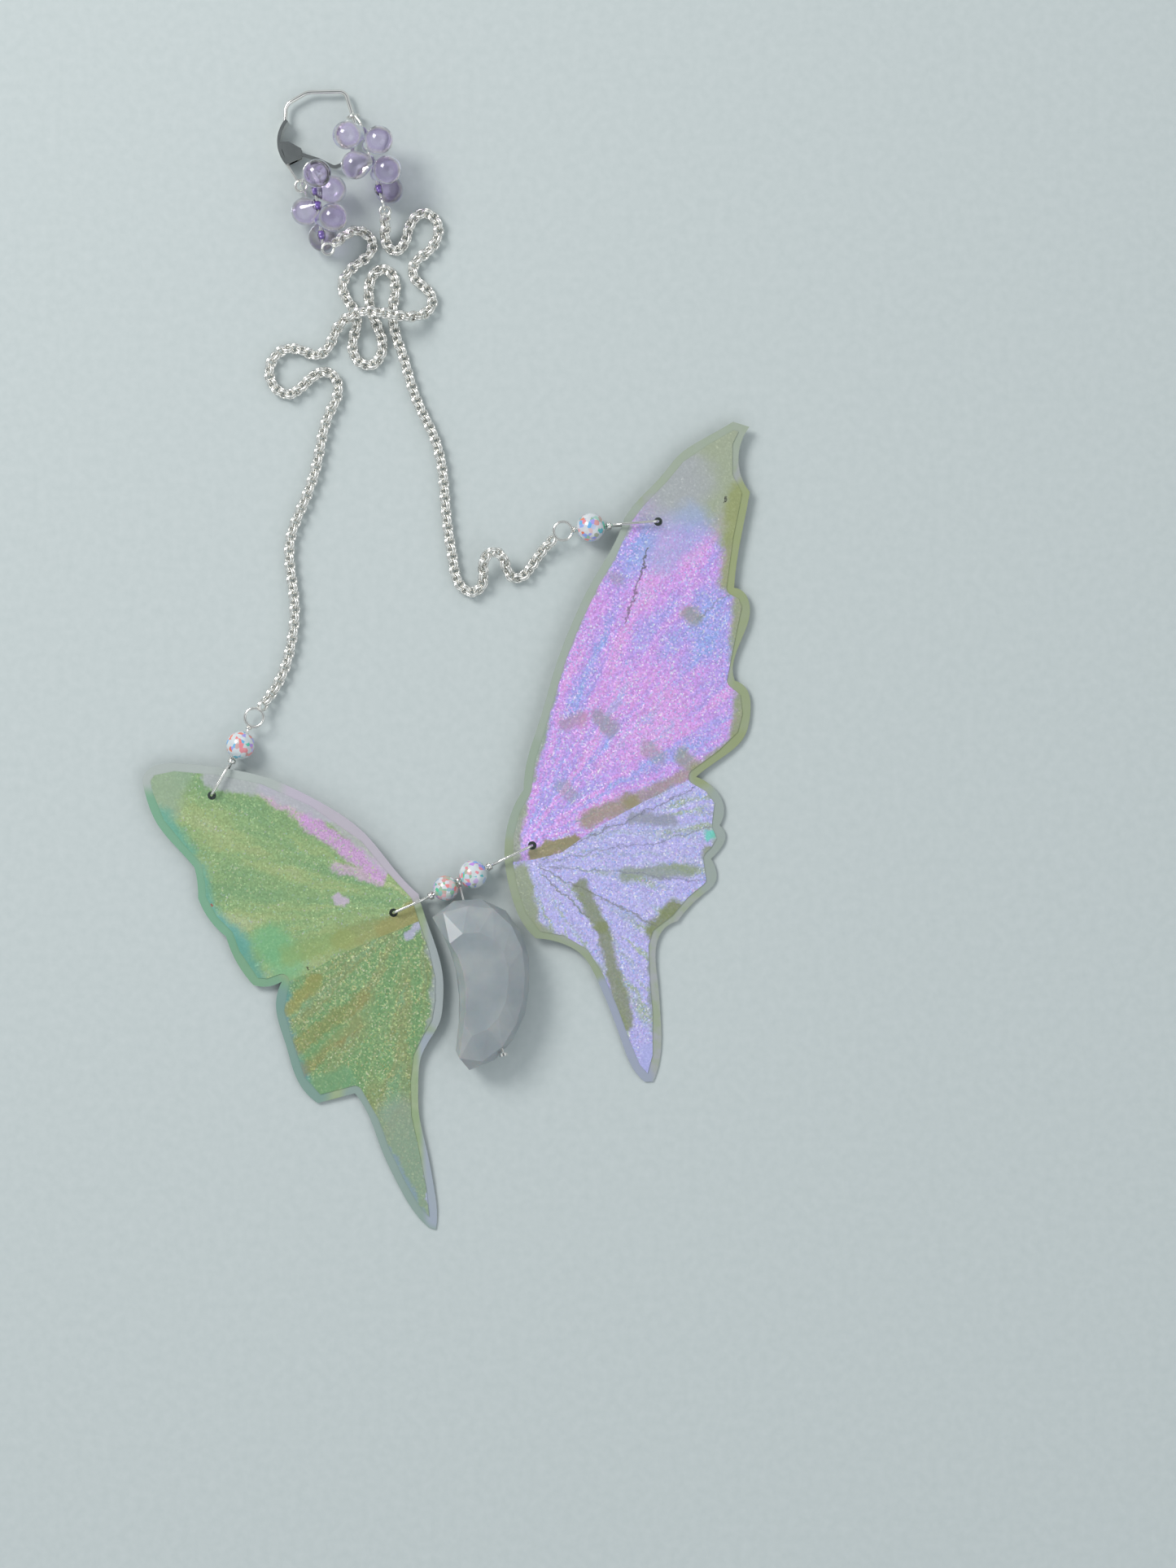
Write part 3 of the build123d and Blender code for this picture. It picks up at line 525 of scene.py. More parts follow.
def wing_film(name, root, washes, glints, highlight_strips, strokes, glitter_share, sparkle, fan, shine):
    """Dichroic foil: washes fanned about the wing's root, painted highlight strips, glitter with painted
    glints and painted light and shade on each facet, plain strokes.
    """
    material, shader = new_material(name)
    place = millimetres(material)
    level = add_node(material, "ShaderNodeVectorMath", {0: place, 1: (1, 1, 0)}, operation="MULTIPLY")
    waver = add_node(
        material, "ShaderNodeTexNoise",
        {"Vector": level.outputs[0], "Scale": 0.35, "Detail": 7.0, "Roughness": 0.72},
    )
    centred = add_node(
        material, "ShaderNodeVectorMath",
        {0: waver.outputs["Color"], 1: (0.5, 0.5, 0.5)}, operation="SUBTRACT",
    )
    pushed = add_node(
        material, "ShaderNodeVectorMath",
        {0: centred.outputs[0], 1: (WAVER, WAVER, 0)}, operation="MULTIPLY",
    )
    wandering = add_node(
        material, "ShaderNodeVectorMath", {0: level.outputs[0], 1: pushed.outputs[0]}, operation="ADD",
    )
    from_root = add_node(
        material, "ShaderNodeVectorMath",
        {0: wandering.outputs[0], 1: (root[0], root[1], 0)}, operation="SUBTRACT",
    )
    axes = add_node(material, "ShaderNodeSeparateXYZ", {0: from_root.outputs[0]})
    angle = add_node(
        material, "ShaderNodeMath", {0: axes.outputs[1], 1: axes.outputs[0]}, operation="ARCTAN2",
    )
    turned = add_node(material, "ShaderNodeMath", {0: angle.outputs[0], 1: fan}, operation="MULTIPLY")
    length = add_node(material, "ShaderNodeVectorMath", {0: from_root.outputs[0]}, operation="LENGTH")
    drawn = add_node(
        material, "ShaderNodeMath", {0: length.outputs["Value"], 1: STREAK_STRETCH}, operation="MULTIPLY",
    )
    fanned = add_node(
        material, "ShaderNodeCombineXYZ", {0: turned.outputs[0], 1: drawn.outputs[0]},
    )
    streak = add_node(
        material, "ShaderNodeTexNoise", {"Vector": fanned.outputs[0], "Scale": 1.0, "Detail": 3.0},
    )
    spread = add_node(material, "ShaderNodeMapRange", {0: streak.outputs[0], 1: 0.3, 2: 0.7})
    cells = add_node(
        material, "ShaderNodeTexVoronoi",
        {"Vector": level.outputs[0], "Scale": 1 / GLITTER}, voronoi_dimensions="2D",
    )
    chance = add_node(material, "ShaderNodeSeparateColor", {0: cells.outputs["Color"]})
    ground = add_node(material, "ShaderNodeValToRGB", {0: spread.outputs[0]}, washes)
    # painted highlight strips, laid on the washes under the glitter
    highlighted = strokes_over(material, wandering.outputs[0], ground.outputs[0], highlight_strips)
    # painted glints: each glitter facet takes a colour from the glint ramp, white among them, as a
    # painted highlight
    glint = add_node(material, "ShaderNodeValToRGB", {0: chance.outputs[0]}, glints)
    lit = add_node(
        material, "ShaderNodeMapRange",
        {0: chance.outputs[1], 1: 1.0 - glitter_share, 2: 1.0, 3: 0.0, 4: 0.85},
    )
    glittered = add_node(
        material, "ShaderNodeMix",
        {0: lit.outputs[0], 6: highlighted, 7: glint.outputs[0]}, data_type="RGBA",
    )
    # painted light and shade: each glitter facet's colour is scaled lighter or darker at random, and
    # lighter on the whole
    shaded = add_node(
        material, "ShaderNodeMapRange", {0: chance.outputs[2], 3: 1.0 - 0.4 * sparkle, 4: 1.24},
    )
    sparkling = add_node(
        material, "ShaderNodeVectorMath",
        {0: glittered.outputs[2], "Scale": shaded.outputs[0]}, operation="SCALE",
    )
    final = strokes_over(material, wandering.outputs[0], sparkling.outputs[0], strokes)
    facet = add_node(
        material, "ShaderNodeVectorMath",
        {0: cells.outputs["Color"], 1: (0.5, 0.5, 0.5)}, operation="SUBTRACT",
    )
    tip = add_node(
        material, "ShaderNodeVectorMath", {0: facet.outputs[0], "Scale": sparkle}, operation="SCALE",
    )
    crinkle = add_node(
        material, "ShaderNodeBump",
        {"Height": streak.outputs[0], "Strength": 0.35, "Distance": 0.5 * MM},
    )
    tipped = add_node(
        material, "ShaderNodeVectorMath",
        {0: crinkle.outputs[0], 1: tip.outputs[0]}, operation="ADD",
    )
    facing = add_node(material, "ShaderNodeVectorMath", {0: tipped.outputs[0]}, operation="NORMALIZE")
    set_inputs(material, shader, {
        "Base Color": final, "Metallic": shine, "Roughness": 0.34,
        "Normal": facing.outputs[0], "Coat Weight": 0.35, "Coat Roughness": 0.18,
    })
    return material


LEFT_ROOT = (-3.5, -34.0)
RIGHT_ROOT = (10.0, -26.5)
left_green = wing_film(
    "green fairy film, crinkled foil on clear sheet", LEFT_ROOT,
    [(0.1, "86A97A"), (0.45, "93B07C"), (0.7, "A3B67F"), (0.95, "AEBC8F")],
    [(0.0, "B9CE9A"), (0.35, "9CC086"), (0.6, "C2C99C"), (0.8, "93BFA4"), (1.0, "C6BEC0")],
    [
        # painted reflection: pink strips where the foil curves up along the leading edge
        ((-26.2, -18.6), (-19.5, -22.4), 0.3, 0.6, "DDB4DC", 0.7),
        ((-19.5, -22.4), (-9.4, -29.9), 0.7, 0.9, "D9A4E0", 0.8),
        ((-15.6, -28.8), (-9.6, -31.0), 0.4, 0.6, "DCB2DE", 0.6),
    ],
    [
        ((-40.5, -20.5), (-38.5, -15.5), 1.6, 2.5, "A3B9A0", 0.8),
        ((-40.3, -22.5), (-37.2, -27.3), 1.0, 1.8, "74B6A2", 0.85),
        ((-35.6, -29.5), (-34.6, -33.5), 0.9, 1.8, "76B4A4", 0.85),
        ((-33.5, -36.0), (-29.0, -39.8), 0.9, 1.8, "6FB3AC", 0.85),
        ((-30.2, -40.0), (-26.8, -44.8), 0.8, 1.6, "6FAE9E", 0.85),
        ((-24.7, -39.5), (-22.5, -42.5), 1.4, 2.4, "7CC08E", 0.7),
        ((-32.5, -16.0), (-25.0, -17.4), 1.5, 0.8, "BFC2C6", 0.9),
        ((-25.0, -17.4), (-17.0, -21.0), 1.3, 0.7, "C6C3CF", 0.9),
        ((-17.0, -21.0), (-8.5, -29.2), 0.5, 0.5, "CDC5D6", 0.6),
        ((-15.4, -33.2), (-14.3, -33.8), 0.3, 0.5, "D8C3DC", 0.8),
        ((-4.2, -35.2), (-8.4, -37.4), 1.0, 1.2, "A6975F", 0.7),
        ((-8.4, -37.4), (-14.5, -39.0), 0.9, 1.4, "A3A46A", 0.65),
        ((-14.5, -39.0), (-22.0, -41.2), 0.7, 1.6, "A0B26C", 0.5),
        ((-4.4, -38.1), (-10.6, -41.6), 0.1, 0.25, "7E7F55", 0.7),
        ((-33.0, -34.4), (-33.0, -34.4), 0.12, 0.15, "B5473C", 0.9),
        ((-19.5, -43.1), (-19.5, -43.1), 0.12, 0.12, "4A4438", 0.9),
    ],
    glitter_share=0.22, sparkle=0.2, fan=7.0, shine=0.2,
)
left_olive = wing_film(
    "olive fairy film, crinkled foil on clear sheet", LEFT_ROOT,
    [(0.1, "78A06E"), (0.45, "85A876"), (0.7, "929F6F"), (0.95, "88AC82")],
    [(0.0, "C9CF98"), (0.3, "A6C280"), (0.55, "D4D6B4"), (0.8, "B9B472"), (1.0, "9EC2A0")],
    [],
    [
        ((-7.0, -64.0), (-2.6, -77.0), 1.4, 3.0, "9FB0A2", 0.65),
        ((-23.6, -45.0), (-24.0, -49.5), 0.8, 1.5, "6FA6A4", 0.9),
        ((-24.0, -49.5), (-22.4, -55.0), 0.7, 1.4, "75A1B4", 0.85),
        ((-22.4, -55.0), (-20.4, -59.6), 0.7, 1.3, "6E9FAE", 0.85),
        ((-20.0, -60.6), (-14.6, -58.6), 0.9, 1.4, "78AD82", 0.65),
        ((-11.8, -47.4), (-21.5, -54.3), 0.6, 1.0, "A98F4E", 0.35),
        ((-12.7, -50.7), (-20.6, -57.9), 0.5, 0.9, "B08A50", 0.35),
        ((-18.5, -45.0), (-22.5, -49.0), 0.5, 0.9, "A7A05A", 0.6),
        ((-10.5, -49.0), (-20.5, -55.9), 0.4, 1.0, "86B07C", 0.4),
        ((-12.9, -61.0), (-9.6, -67.0), 0.5, 0.7, "8FADB6", 0.85),
        ((-9.6, -67.0), (-3.2, -79.0), 0.45, 0.7, "93A9B8", 0.8),
        # painted sheen: pale violet-white along the inner margin
        ((-2.6, -36.0), (-1.0, -42.0), 0.7, 1.1, "C4C6D8", 0.85),
        ((-1.0, -42.0), (-1.2, -49.0), 0.6, 1.0, "B4BDC2", 0.8),
        ((-1.2, -49.0), (-3.9, -56.0), 0.4, 0.8, "AEB6B2", 0.8),
        # painted glint: blue-white along the tail's inner edge
        ((-4.2, -62.0), (-2.7, -71.5), 0.35, 0.45, "CFD4F4", 0.9),
        ((-2.7, -71.5), (-2.0, -77.5), 0.3, 0.4, "C5CBEA", 0.85),
        ((-3.6, -36.6), (-5.4, -38.6), 0.3, 0.5, "C9C4E4", 0.8),
    ],
    glitter_share=0.4, sparkle=0.3, fan=6.0, shine=0.25,
)
# painted reflection: these violet, pink and blue washes and glints are the foil's iridescent sheen
# painted in as colour
right_violet_sheen = wing_film(
    "violet fairy film, crinkled foil on clear sheet", RIGHT_ROOT,
    [(0.05, "A2B2F4"), (0.35, "BEA6F2"), (0.6, "DAA2F0"), (0.8, "E6A8EC"), (0.98, "C6B6F0")],
    [(0.0, "F4DAFC"), (0.25, "EDB0F6"), (0.45, "9FC0FC"), (0.65, "FFFFFF"), (0.85, "C0AAFA"),
     (1.0, "B0E6F8")],
    [],
    [
        ((43.0, 36.0), (34.0, 25.5), 4.2, 4.5, "B2BCB0", 0.93),
        ((38.5, 30.0), (40.5, 20.0), 2.6, 3.0, "B0B99C", 0.85),
        ((34.0, 25.5), (29.0, 22.0), 2.0, 3.2, "B9BCC0", 0.7),
        ((41.0, 23.0), (40.0, 11.0), 1.1, 1.6, "A4AC74", 0.9),
        ((41.6, 8.8), (41.0, 1.0), 0.9, 1.2, "A3AD80", 0.9),
        ((41.6, -5.0), (41.2, -10.6), 0.9, 1.2, "9EAA7C", 0.9),
        ((41.0, -11.0), (35.5, -15.6), 0.7, 1.0, "A0A87A", 0.9),
        ((24.4, 18.8), (19.4, 9.8), 0.9, 0.7, "AEB6B0", 0.9),
        ((19.4, 9.8), (15.6, 1.0), 0.9, 0.7, "A6B3A8", 0.92),
        ((15.6, 1.0), (12.6, -10.0), 0.9, 0.7, "9FB0A2", 0.92),
        ((12.6, -10.0), (9.6, -21.0), 0.9, 0.8, "9FB09F", 0.92),
        ((9.4, -21.0), (8.6, -27.0), 1.2, 0.8, "A4AE98", 0.92),
        ((12.0, -27.0), (17.8, -25.2), 0.7, 0.6, "9A9462", 0.92),
        ((19.6, -22.4), (25.6, -19.9), 0.7, 1.1, "A39C6C", 0.75),
        ((25.6, -19.9), (34.6, -15.6), 0.4, 1.0, "A09B70", 0.65),
        ((33.4, 6.9), (34.8, 6.0), 0.5, 1.0, "9EA580", 0.65),
        ((21.2, -8.0), (22.9, -9.6), 0.5, 1.1, "9D9FA2", 0.65),
        ((23.1, 11.8), (24.2, 11.0), 0.3, 1.0, "A79FAE", 0.5),
        ((28.0, -12.2), (29.5, -13.6), 0.5, 1.1, "A0A298", 0.5),
        ((33.0, -13.4), (34.4, -15.0), 0.6, 1.1, "A0A57C", 0.65),
        ((16.2, -17.6), (17.6, -18.8), 0.5, 1.1, "A3A6A8", 0.5),
        ((16.6, -9.0), (18.6, -8.2), 0.5, 1.1, "C09BA6", 0.6),
        ((30.0, 15.0), (34.0, 19.0), 1.6, 2.6, "A9BCEA", 0.55),
        ((28.2, 15.7), (26.9, 11.2), 0.07, 0.14, "6A6866", 0.85),
        ((26.9, 11.2), (24.8, 5.7), 0.05, 0.14, "756C7C", 0.75),
        ((39.6, 9.3), (34.9, 5.8), 0.05, 0.14, "8C8C96", 0.6),
        ((33.3, 28.7), (33.3, 28.7), 0.2, 0.2, "D06BA4", 0.9),
        ((38.8, 22.8), (38.8, 22.2), 0.06, 0.1, "3C3B38", 0.9),
    ],
    glitter_share=0.55, sparkle=0.36, fan=13.0, shine=0.25,
)
# painted reflection: these lilac and blue washes and glints are the foil's iridescent sheen painted in as
# colour
right_blue_sheen = wing_film(
    "blue fairy film, crinkled foil on clear sheet", RIGHT_ROOT,
    [(0.1, "B0BCAA"), (0.3, "BABFE2"), (0.5, "C4BEF2"), (0.75, "C2BCF4"), (0.95, "B2C0AE")],
    [(0.0, "DCD8FC"), (0.3, "AFA6F6"), (0.5, "93B8FA"), (0.72, "FFFFFF"), (0.9, "D2A6EE"),
     (1.0, "B8EAF0")],
    [],
    [
        ((10.2, -30.0), (11.3, -37.6), 1.1, 1.0, "A0AB88", 0.9),
        ((11.3, -37.6), (16.0, -40.2), 1.1, 0.9, "A3AC8C", 0.9),
        ((16.0, -40.2), (20.6, -43.6), 0.7, 0.9, "9EA88C", 0.85),
        ((18.6, -31.5), (21.6, -37.5), 0.6, 0.7, "8F9870", 0.85),
        ((21.6, -37.5), (25.2, -51.0), 0.65, 0.8, "8F976F", 0.85),
        ((31.9, -35.2), (29.3, -38.2), 1.2, 0.8, "8C9564", 0.9),
        ((28.8, -41.5), (29.8, -53.5), 0.5, 0.7, "96A098", 0.85),
        ((37.5, -31.0), (36.5, -27.0), 0.5, 0.8, "93A06E", 0.8),
        ((38.4, -20.0), (37.9, -26.5), 0.4, 0.8, "A6B29C", 0.75),
        ((26.0, -22.0), (31.5, -22.4), 0.5, 0.9, "9B9FA6", 0.75),
        ((25.0, -30.0), (34.0, -29.2), 0.5, 0.9, "9AA78C", 0.75),
        ((28.0, -55.0), (28.4, -58.4), 0.9, 0.9, "B9BCF2", 0.8),
        ((37.4, -24.6), (36.6, -24.8), 0.3, 0.5, "6FE0C8", 0.8),
        ((13.0, -27.6), (37.0, -17.0), 0.04, 0.12, "7F7F90", 0.7),
        ((13.0, -28.2), (38.0, -23.5), 0.04, 0.12, "8788A0", 0.6),
        ((13.0, -28.6), (36.5, -31.0), 0.04, 0.12, "8788A0", 0.6),
        ((13.0, -29.0), (29.0, -37.0), 0.05, 0.14, "83867A", 0.7),
        ((13.4, -30.2), (20.0, -36.0), 0.05, 0.14, "7E836E", 0.7),
    ],
    glitter_share=0.55, sparkle=0.36, fan=10.0, shine=0.25,
)


def clear_sheet(name, low, high, tints):
    """Clear polyester sheet, heat-sealed and faintly crinkled: the card below greys its tint."""
    material, shader = new_material(name)
    place = millimetres(material)
    level = add_node(material, "ShaderNodeVectorMath", {0: place, 1: (1, 1, 0)}, operation="MULTIPLY")
    haze = add_node(material, "ShaderNodeTexNoise", {"Vector": place, "Scale": 0.5, "Detail": 6.0})
    share = add_node(material, "ShaderNodeMapRange", {0: haze.outputs[0], 1: 0.38, 2: 0.62})
    ground = add_node(
        material, "ShaderNodeMix",
        {0: share.outputs[0], 6: linear(low), 7: linear(high)}, data_type="RGBA",
    )
    colour = strokes_over(material, level.outputs[0], ground.outputs[2], tints)
    ripple = add_node(material, "ShaderNodeTexNoise", {"Vector": place, "Scale": 1.1, "Detail": 3.0})
    bump = add_node(
        material, "ShaderNodeBump",
        {"Height": ripple.outputs[0], "Strength": 0.3, "Distance": 0.15 * MM},
    )
    set_inputs(material, shader, {
        "Base Color": colour, "Roughness": 0.25, "Normal": bump.outputs[0], "Coat Weight": 0.5,
        "Coat Roughness": 0.1,
    })
    return material


left_border = clear_sheet("clear sheet, green tint", "9BAF88", "A7B694", [
    ((-41.0, -15.5), (-20.0, -18.5), 2.2, 2.0, "B9BFC0", 0.85),
    ((-20.0, -18.5), (-5.0, -31.0), 2.0, 2.0, "C6BBCC", 0.85),
    ((-41.5, -21.0), (-31.5, -38.5), 1.6, 2.4, "7BAE93", 0.85),
    ((-30.0, -41.0), (-23.5, -47.0), 1.4, 2.0, "7DAA8C", 0.85),
    ((-23.8, -48.0), (-19.0, -61.0), 1.4, 2.0, "809F9A", 0.85),
    ((-13.0, -61.0), (-2.5, -79.5), 1.0, 1.4, "93A6A4", 0.85),
    ((-1.0, -37.0), (-0.8, -50.0), 1.2, 1.6, "B3BAC0", 0.85),
    ((-2.5, -53.5), (-1.6, -78.0), 0.9, 1.2, "A9B1C2", 0.85),
])
right_border = clear_sheet("clear sheet, grey tint", "A4AF98", "ADB0B2", [
    ((42.5, 33.0), (30.0, 26.5), 2.4, 2.6, "A9B4A2", 0.85),
    ((42.0, 23.5), (40.5, 10.5), 1.3, 1.6, "A0AA76", 0.85),
    ((41.8, 8.0), (41.6, -11.0), 1.2, 1.6, "9EA982", 0.85),
    ((41.0, -11.5), (35.5, -16.0), 1.0, 1.2, "9CA67C", 0.85),
    ((25.0, 20.5), (12.0, -12.0), 1.6, 1.6, "A9B4A9", 0.85),
    ((11.5, -13.0), (8.4, -26.0), 1.6, 1.6, "A0AF9E", 0.85),
    ((8.4, -27.0), (12.0, -38.5), 1.5, 1.6, "A1AC90", 0.85),
    ((12.5, -38.9), (21.5, -44.0), 1.3, 1.5, "9DA98E", 0.85),
    ((22.0, -46.0), (27.5, -58.8), 0.9, 1.2, "A3AAC0", 0.85),
    ((38.5, -19.0), (37.0, -31.5), 1.0, 1.4, "A2ADA8", 0.85),
])


def paint_node(node, material):
    """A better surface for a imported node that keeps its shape."""
    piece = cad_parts[node]
    piece.data.materials.clear()
    piece.data.materials.append(material)


paint_node("left_forewing_film", left_green)
paint_node("left_hindwing_film", left_olive)
paint_node("right_forewing_film", right_violet_sheen)
paint_node("right_hindwing_film", right_blue_sheen)
paint_node("left_wing_backing", left_border)
paint_node("right_wing_backing", right_border)
for part in ("clasp_ear_wire", "clasp_shell", "clasp_lever", "clasp_rivet"):
    paint_node(part, silver_clasp)
for part in ("clasp_ring", "left_cluster_wire", "right_cluster_wire", "right_chain_jump_ring"):
    paint_node(part, silver_wire)
paint_node("crescent_head_pin", silver_wire)


# ---- Opal beads ----------------------------------------------------------------------------------
def opal_surface(name, body, flecks, fleck_share):
    """Lab-grown opal, tumbled and polished: milky, with flat flakes of fire about 0.6 mm across."""
    material, shader = new_material(name)
    place = millimetres(material)
    cells = add_node(material, "ShaderNodeTexVoronoi", {"Vector": place, "Scale": 1.7})
    chance = add_node(material, "ShaderNodeSeparateColor", {0: cells.outputs["Color"]})
    cloud = add_node(material, "ShaderNodeTexNoise", {"Vector": place, "Scale": 0.9, "Detail": 3.0})
    milk = add_node(
        material, "ShaderNodeMix",
        {0: cloud.outputs[0], 6: linear(body), 7: linear("F4F6F8")}, data_type="RGBA",
    )
    fire = add_node(material, "ShaderNodeValToRGB", {0: chance.outputs[0]}, flecks)
    lit = add_node(
        material, "ShaderNodeMapRange",
        {0: chance.outputs[1], 1: 1.0 - fleck_share, 2: 1.0 - 0.6 * fleck_share, 3: 0.0, 4: 0.95},
    )
    colour = add_node(
        material, "ShaderNodeMix",
        {0: lit.outputs[0], 6: milk.outputs[2], 7: fire.outputs[0]}, data_type="RGBA",
    )
    set_inputs(material, shader, {
        "Base Color": colour.outputs[2], "Roughness": 0.12, "IOR": 1.45, "Coat Weight": 0.8,
        "Coat Roughness": 0.04, "Subsurface Weight": 0.12, "Subsurface Scale": 0.6 * MM,
        "Subsurface Radius": (1.0, 0.9, 0.9),
    })
    return material


FIRE = [(0.0, "F0743C"), (0.25, "F0909C"), (0.5, "52CFA0"), (0.75, "6CB2F0"), (1.0, "CC8CEA")]
paint_node("left_outer_opal", opal_surface("opal, pale blue-grey", "B9C6CC", FIRE, 0.45))
paint_node("right_outer_opal", opal_surface("opal, warm grey", "BDC0CA", FIRE, 0.6))
paint_node("centre_left_opal", opal_surface("opal, orange fire", "C9C6D4", FIRE[:3] + FIRE[4:], 0.75))
paint_node("centre_right_opal", opal_surface("opal, pale grey-teal", "BCCACE", FIRE[1:], 0.45))


# ---- Glass drops ---------------------------------------------------------------------------------
def drop_glass():
    """Pressed glass with a violet lining and an aurora coat: clear, with bands of sheen."""
    material, shader = new_material("lilac glass, pressed, aurora coated")
    place = millimetres(material)
    drift = add_node(material, "ShaderNodeTexNoise", {"Vector": place, "Scale": 0.35, "Detail": 2.0})
    edge = add_node(material, "ShaderNodeLayerWeight", {"Blend": 0.4})
    both = add_node(
        material, "ShaderNodeMath", {0: drift.outputs[0], 1: edge.outputs[1]}, operation="ADD",
    )
    share = add_node(material, "ShaderNodeMapRange", {0: both.outputs[0], 1: 0.4, 2: 1.5})
    sheen = add_node(material, "ShaderNodeValToRGB", {0: share.outputs[0]}, [
        (0.0, "EDE3FA"), (0.3, "DFCDF6"), (0.5, "F2EED2"), (0.68, "CFE9E2"), (0.84, "C0A4EE"),
        (1.0, "A687E2"),
    ])
    set_inputs(material, shader, {
        "Base Color": sheen.outputs[0], "Roughness": 0.03, "IOR": 1.5,
        "Transmission Weight": 0.95,
        "Coat Weight": 1.0, "Coat Roughness": 0.02,
    })
    return material


def lining_violet():
    """The violet paint fired into the hole of each drop."""
    material, shader = new_material("violet lining, fired paint")
    place = millimetres(material)
    patch = add_node(material, "ShaderNodeTexNoise", {"Vector": place, "Scale": 1.6})
    colour = add_node(
        material, "ShaderNodeMix",
        {0: patch.outputs[0], 6: linear("6C40C6"), 7: linear("AC7CF2")}, data_type="RGBA",
    )
    set_inputs(material, shader, {"Base Color": colour.outputs[2], "Roughness": 0.35})
    return material


glass = drop_glass()
violet = lining_violet()
CLUSTERS = {
    "left": (np.array((-18.5, 67.2, 5.2)), unit((1.15, -8.4, -0.5))),
    "right": (np.array((-11.6, 73.4, 4.8)), unit((2.5, -9.0, -0.4))),
}
for side, (top, way) in CLUSTERS.items():
    for number in range(5):
        node = f"{side}_drop_{number + 1}"
        paint_node(node, glass)
        hole = top + way * DROP_PITCH * number
        paint = sleeve(
            hole - way * LINING_REACH, hole + way * LINING_REACH,
            DROP_BORE / 2 - LINING_GAP, DROP_BORE / 2 - LINING_GAP - LINING_WALL,
        )
        lining = new_piece(node + "_lining", [paint], violet)
        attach(lining, node + "_bead")


# ---- Crescent stone ------------------------------------------------------------------------------
STONE_OUTLINE = np.array([
    (-2.0, -35.9), (-0.9, -34.4), (0.9, -33.6), (4.1, -33.2), (7.0, -33.8), (9.3, -36.0),
    (10.9, -38.9), (11.5, -41.7), (11.5, -45.8), (11.0, -49.2), (9.6, -52.5), (8.1, -54.6),
    (5.6, -56.7), (2.7, -57.3), (1.7, -56.6), (1.2, -55.0), (1.4, -52.6), (1.8, -49.6),
    (1.7, -45.8), (1.1, -42.4), (0.0, -39.2), (-1.1, -37.4),
])
STONE_THICKNESS = 7.0
STONE_LEVELS = ((0.0, 0.6), (0.22, 0.92), (0.5, 1.0), (0.8, 0.92), (1.0, 0.6))
FACETS_ROUND = 16


def quartz():
    """Milky quartz, cut in facets and polished: clouded, with faint veils."""
    material, shader = new_material("milky quartz, faceted and polished")
    place = millimetres(material)
    veil = add_node(material, "ShaderNodeTexNoise", {"Vector": place, "Scale": 0.22, "Detail": 5.0})
    share = add_node(material, "ShaderNodeMapRange", {0: veil.outputs[0], 1: 0.35, 2: 0.65})
    colour = add_node(
        material, "ShaderNodeValToRGB", {0: share.outputs[0]},
        [(0.0, "A0A9AE"), (0.5, "A9B1B5"), (1.0, "B4BABB")],
    )
    set_inputs(material, shader, {
        "Base Color": colour.outputs[0], "Roughness": 0.34, "IOR": 1.54,
        "Transmission Weight": 0.15,
        "Subsurface Weight": 0.4, "Subsurface Scale": 2.5 * MM, "Coat Weight": 0.12,
        "Coat Roughness": 0.12,
    })
    return material


def faceted_stone(material):
    """Rings of corners at five heights, each ring drawn in towards the stone's middle by its own
    share and shifted half a corner round from the one below, joined by flat triangles."""
    centre = STONE_OUTLINE.mean(axis=0)
    # anticlockwise seen from above, so that every face looks outward
    closed = np.concatenate((STONE_OUTLINE, STONE_OUTLINE[:1]))[::-1]
    far = along(closed)
    count = FACETS_ROUND
    rows = []
    for level, (height, share) in enumerate(STONE_LEVELS):
        stops = (np.arange(count) + 0.5 * (level % 2)) / count * far[-1]
        ring = np.stack([np.interp(stops, far, closed[:, i]) for i in (0, 1)], axis=1)
        ring = centre + (ring - centre) * share
        rows.append(np.column_stack((ring, np.full(count, height * STONE_THICKNESS))))
    points = np.concatenate(rows)
    faces = []
    corner = np.arange(count)
    following = (corner + 1) % count
    for level in range(len(STONE_LEVELS) - 1):
        low = level * count
        high = low + count
        if level % 2 == 0:
            faces.extend(np.stack((low + corner, low + following, high + corner), 1))
            faces.extend(np.stack((low + following, high + following, high + corner), 1))
        else:
            faces.extend(np.stack((low + corner, low + following, high + following), 1))
            faces.extend(np.stack((low + corner, high + following, high + corner), 1))
    faces.append(corner[::-1])
    faces.append(corner + (len(STONE_LEVELS) - 1) * count)
    return new_piece("crescent_facets", [(points, faces)], material, smooth=False)


stone = faceted_stone(quartz())
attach(stone, "crescent")
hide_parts("crescent_stone")

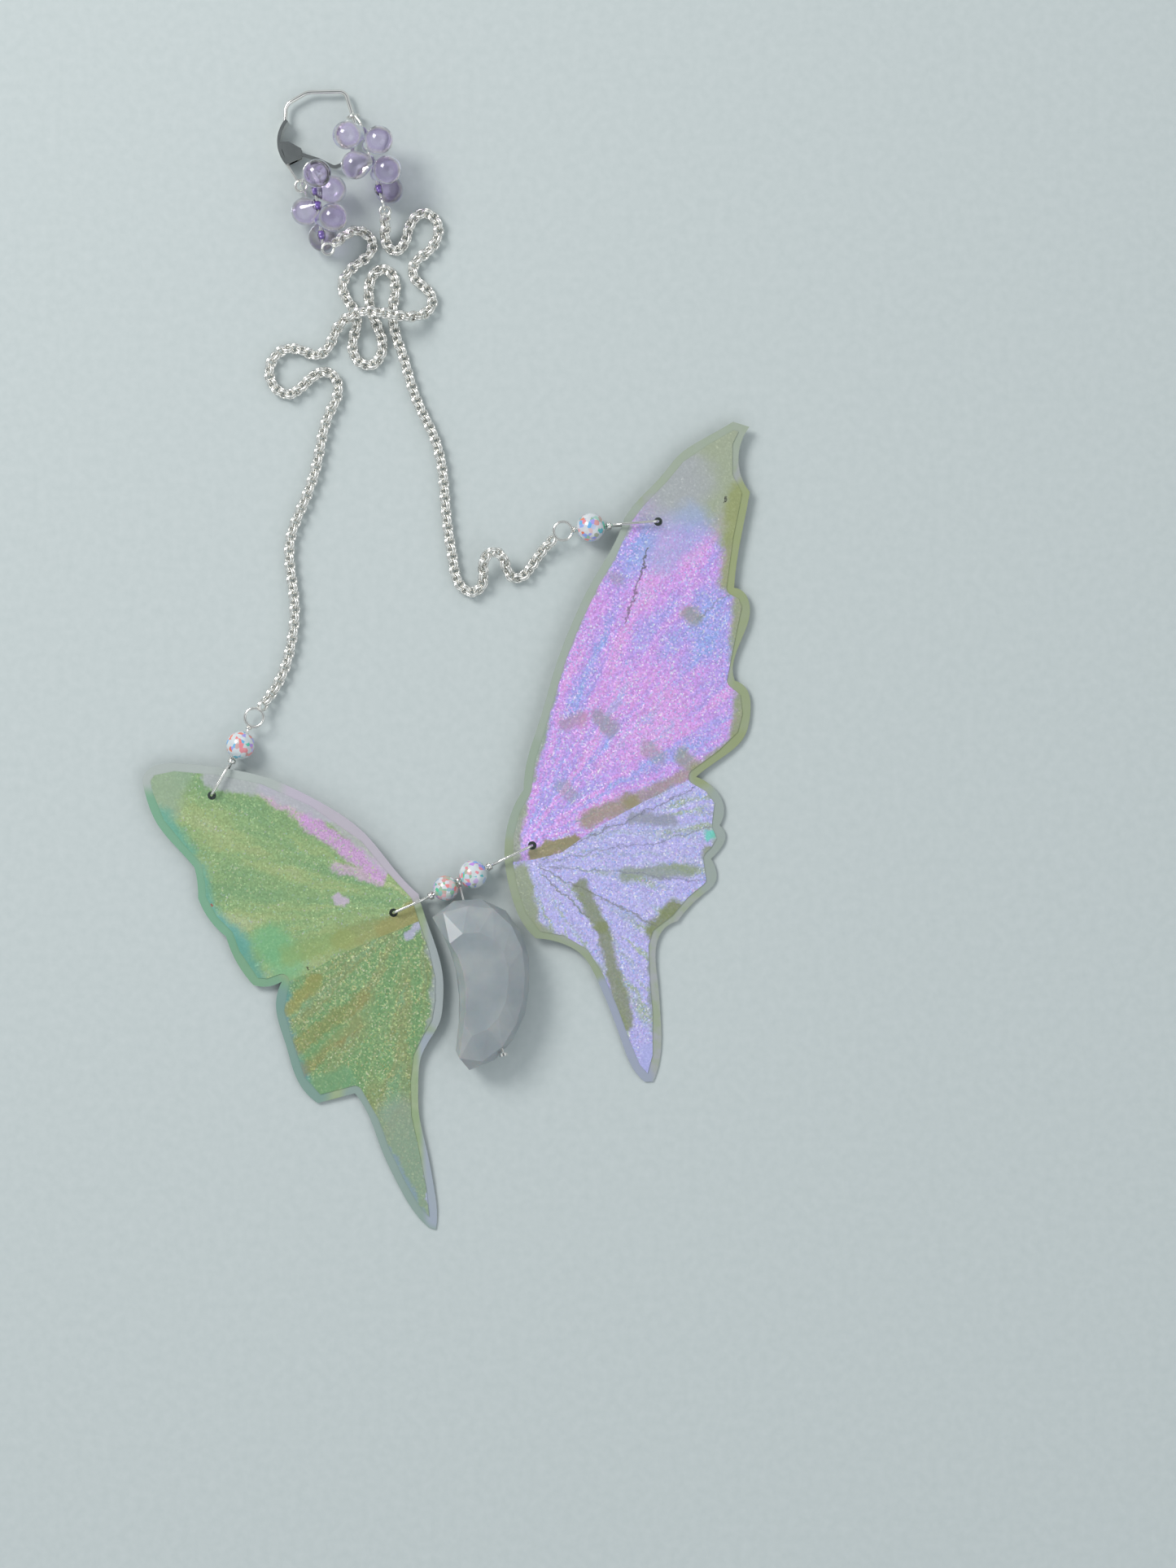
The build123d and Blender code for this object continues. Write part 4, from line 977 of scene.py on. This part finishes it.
# ---- Floor, light and sky ------------------------------------------------------------------------
FLOOR_SIZE = 4  # metres
FLOOR_GAP = 0.02  # keeps the card just below the films that lie on it
SKY_STRENGTH = 0.97
# From the horizon to straight up: dark at the horizon and below it, bright above, darker again
# overhead, which gives the polished silver something to reflect besides white.
SKY_BANDS = ((0.0, "3E4346"), (0.45, "DCE2E5"), (0.86, "CDD3D6"), (0.97, "6A7175"))

floor_material, floor_shader = new_material("matt pale card")
floor_place = millimetres(floor_material)
mottle = add_node(
    floor_material, "ShaderNodeTexNoise", {"Vector": floor_place, "Scale": 0.8, "Detail": 6.0},
)
card = add_node(
    floor_material, "ShaderNodeMix",
    {0: mottle.outputs[0], 6: linear("BFC8C8"), 7: linear("CDD4D4")}, data_type="RGBA",
)
set_inputs(floor_material, floor_shader, {"Base Color": card.outputs[2], "Roughness": 0.9})
bpy.ops.mesh.primitive_plane_add(size=FLOOR_SIZE)
floor = bpy.context.object
floor.name = "floor"
floor.location = (0, 0, -FLOOR_GAP * MM)
floor.data.materials.append(floor_material)


def soft_light(name, place, size, power, colour):
    """A square light that looks at the middle of the necklace."""
    data = bpy.data.lights.new(name, "AREA")
    data.size = size
    data.energy = power
    data.color = colour
    light = bpy.data.objects.new(name, data)
    light.location = place
    light.rotation_euler = (-Vector(place)).to_track_quat("-Z", "Y").to_euler()
    bpy.context.scene.collection.objects.link(light)


soft_light("window", place=(-0.38, 0.34, 0.5), size=0.28, power=2.7, colour=(1.0, 0.99, 0.97))
soft_light("fill", place=(0.5, -0.3, 0.7), size=0.6, power=0.8, colour=(0.94, 0.97, 1.0))

world = bpy.data.worlds.new("sky")
world.use_nodes = True
bpy.context.scene.world = world
direction = add_node(world, "ShaderNodeTexCoord")
heights = add_node(world, "ShaderNodeSeparateXYZ", {0: direction.outputs["Generated"]})
fade = add_node(world, "ShaderNodeValToRGB", {0: heights.outputs[2]}, SKY_BANDS)
background = world.node_tree.nodes["Background"]
set_inputs(world, background, {0: fade.outputs[0], 1: SKY_STRENGTH})
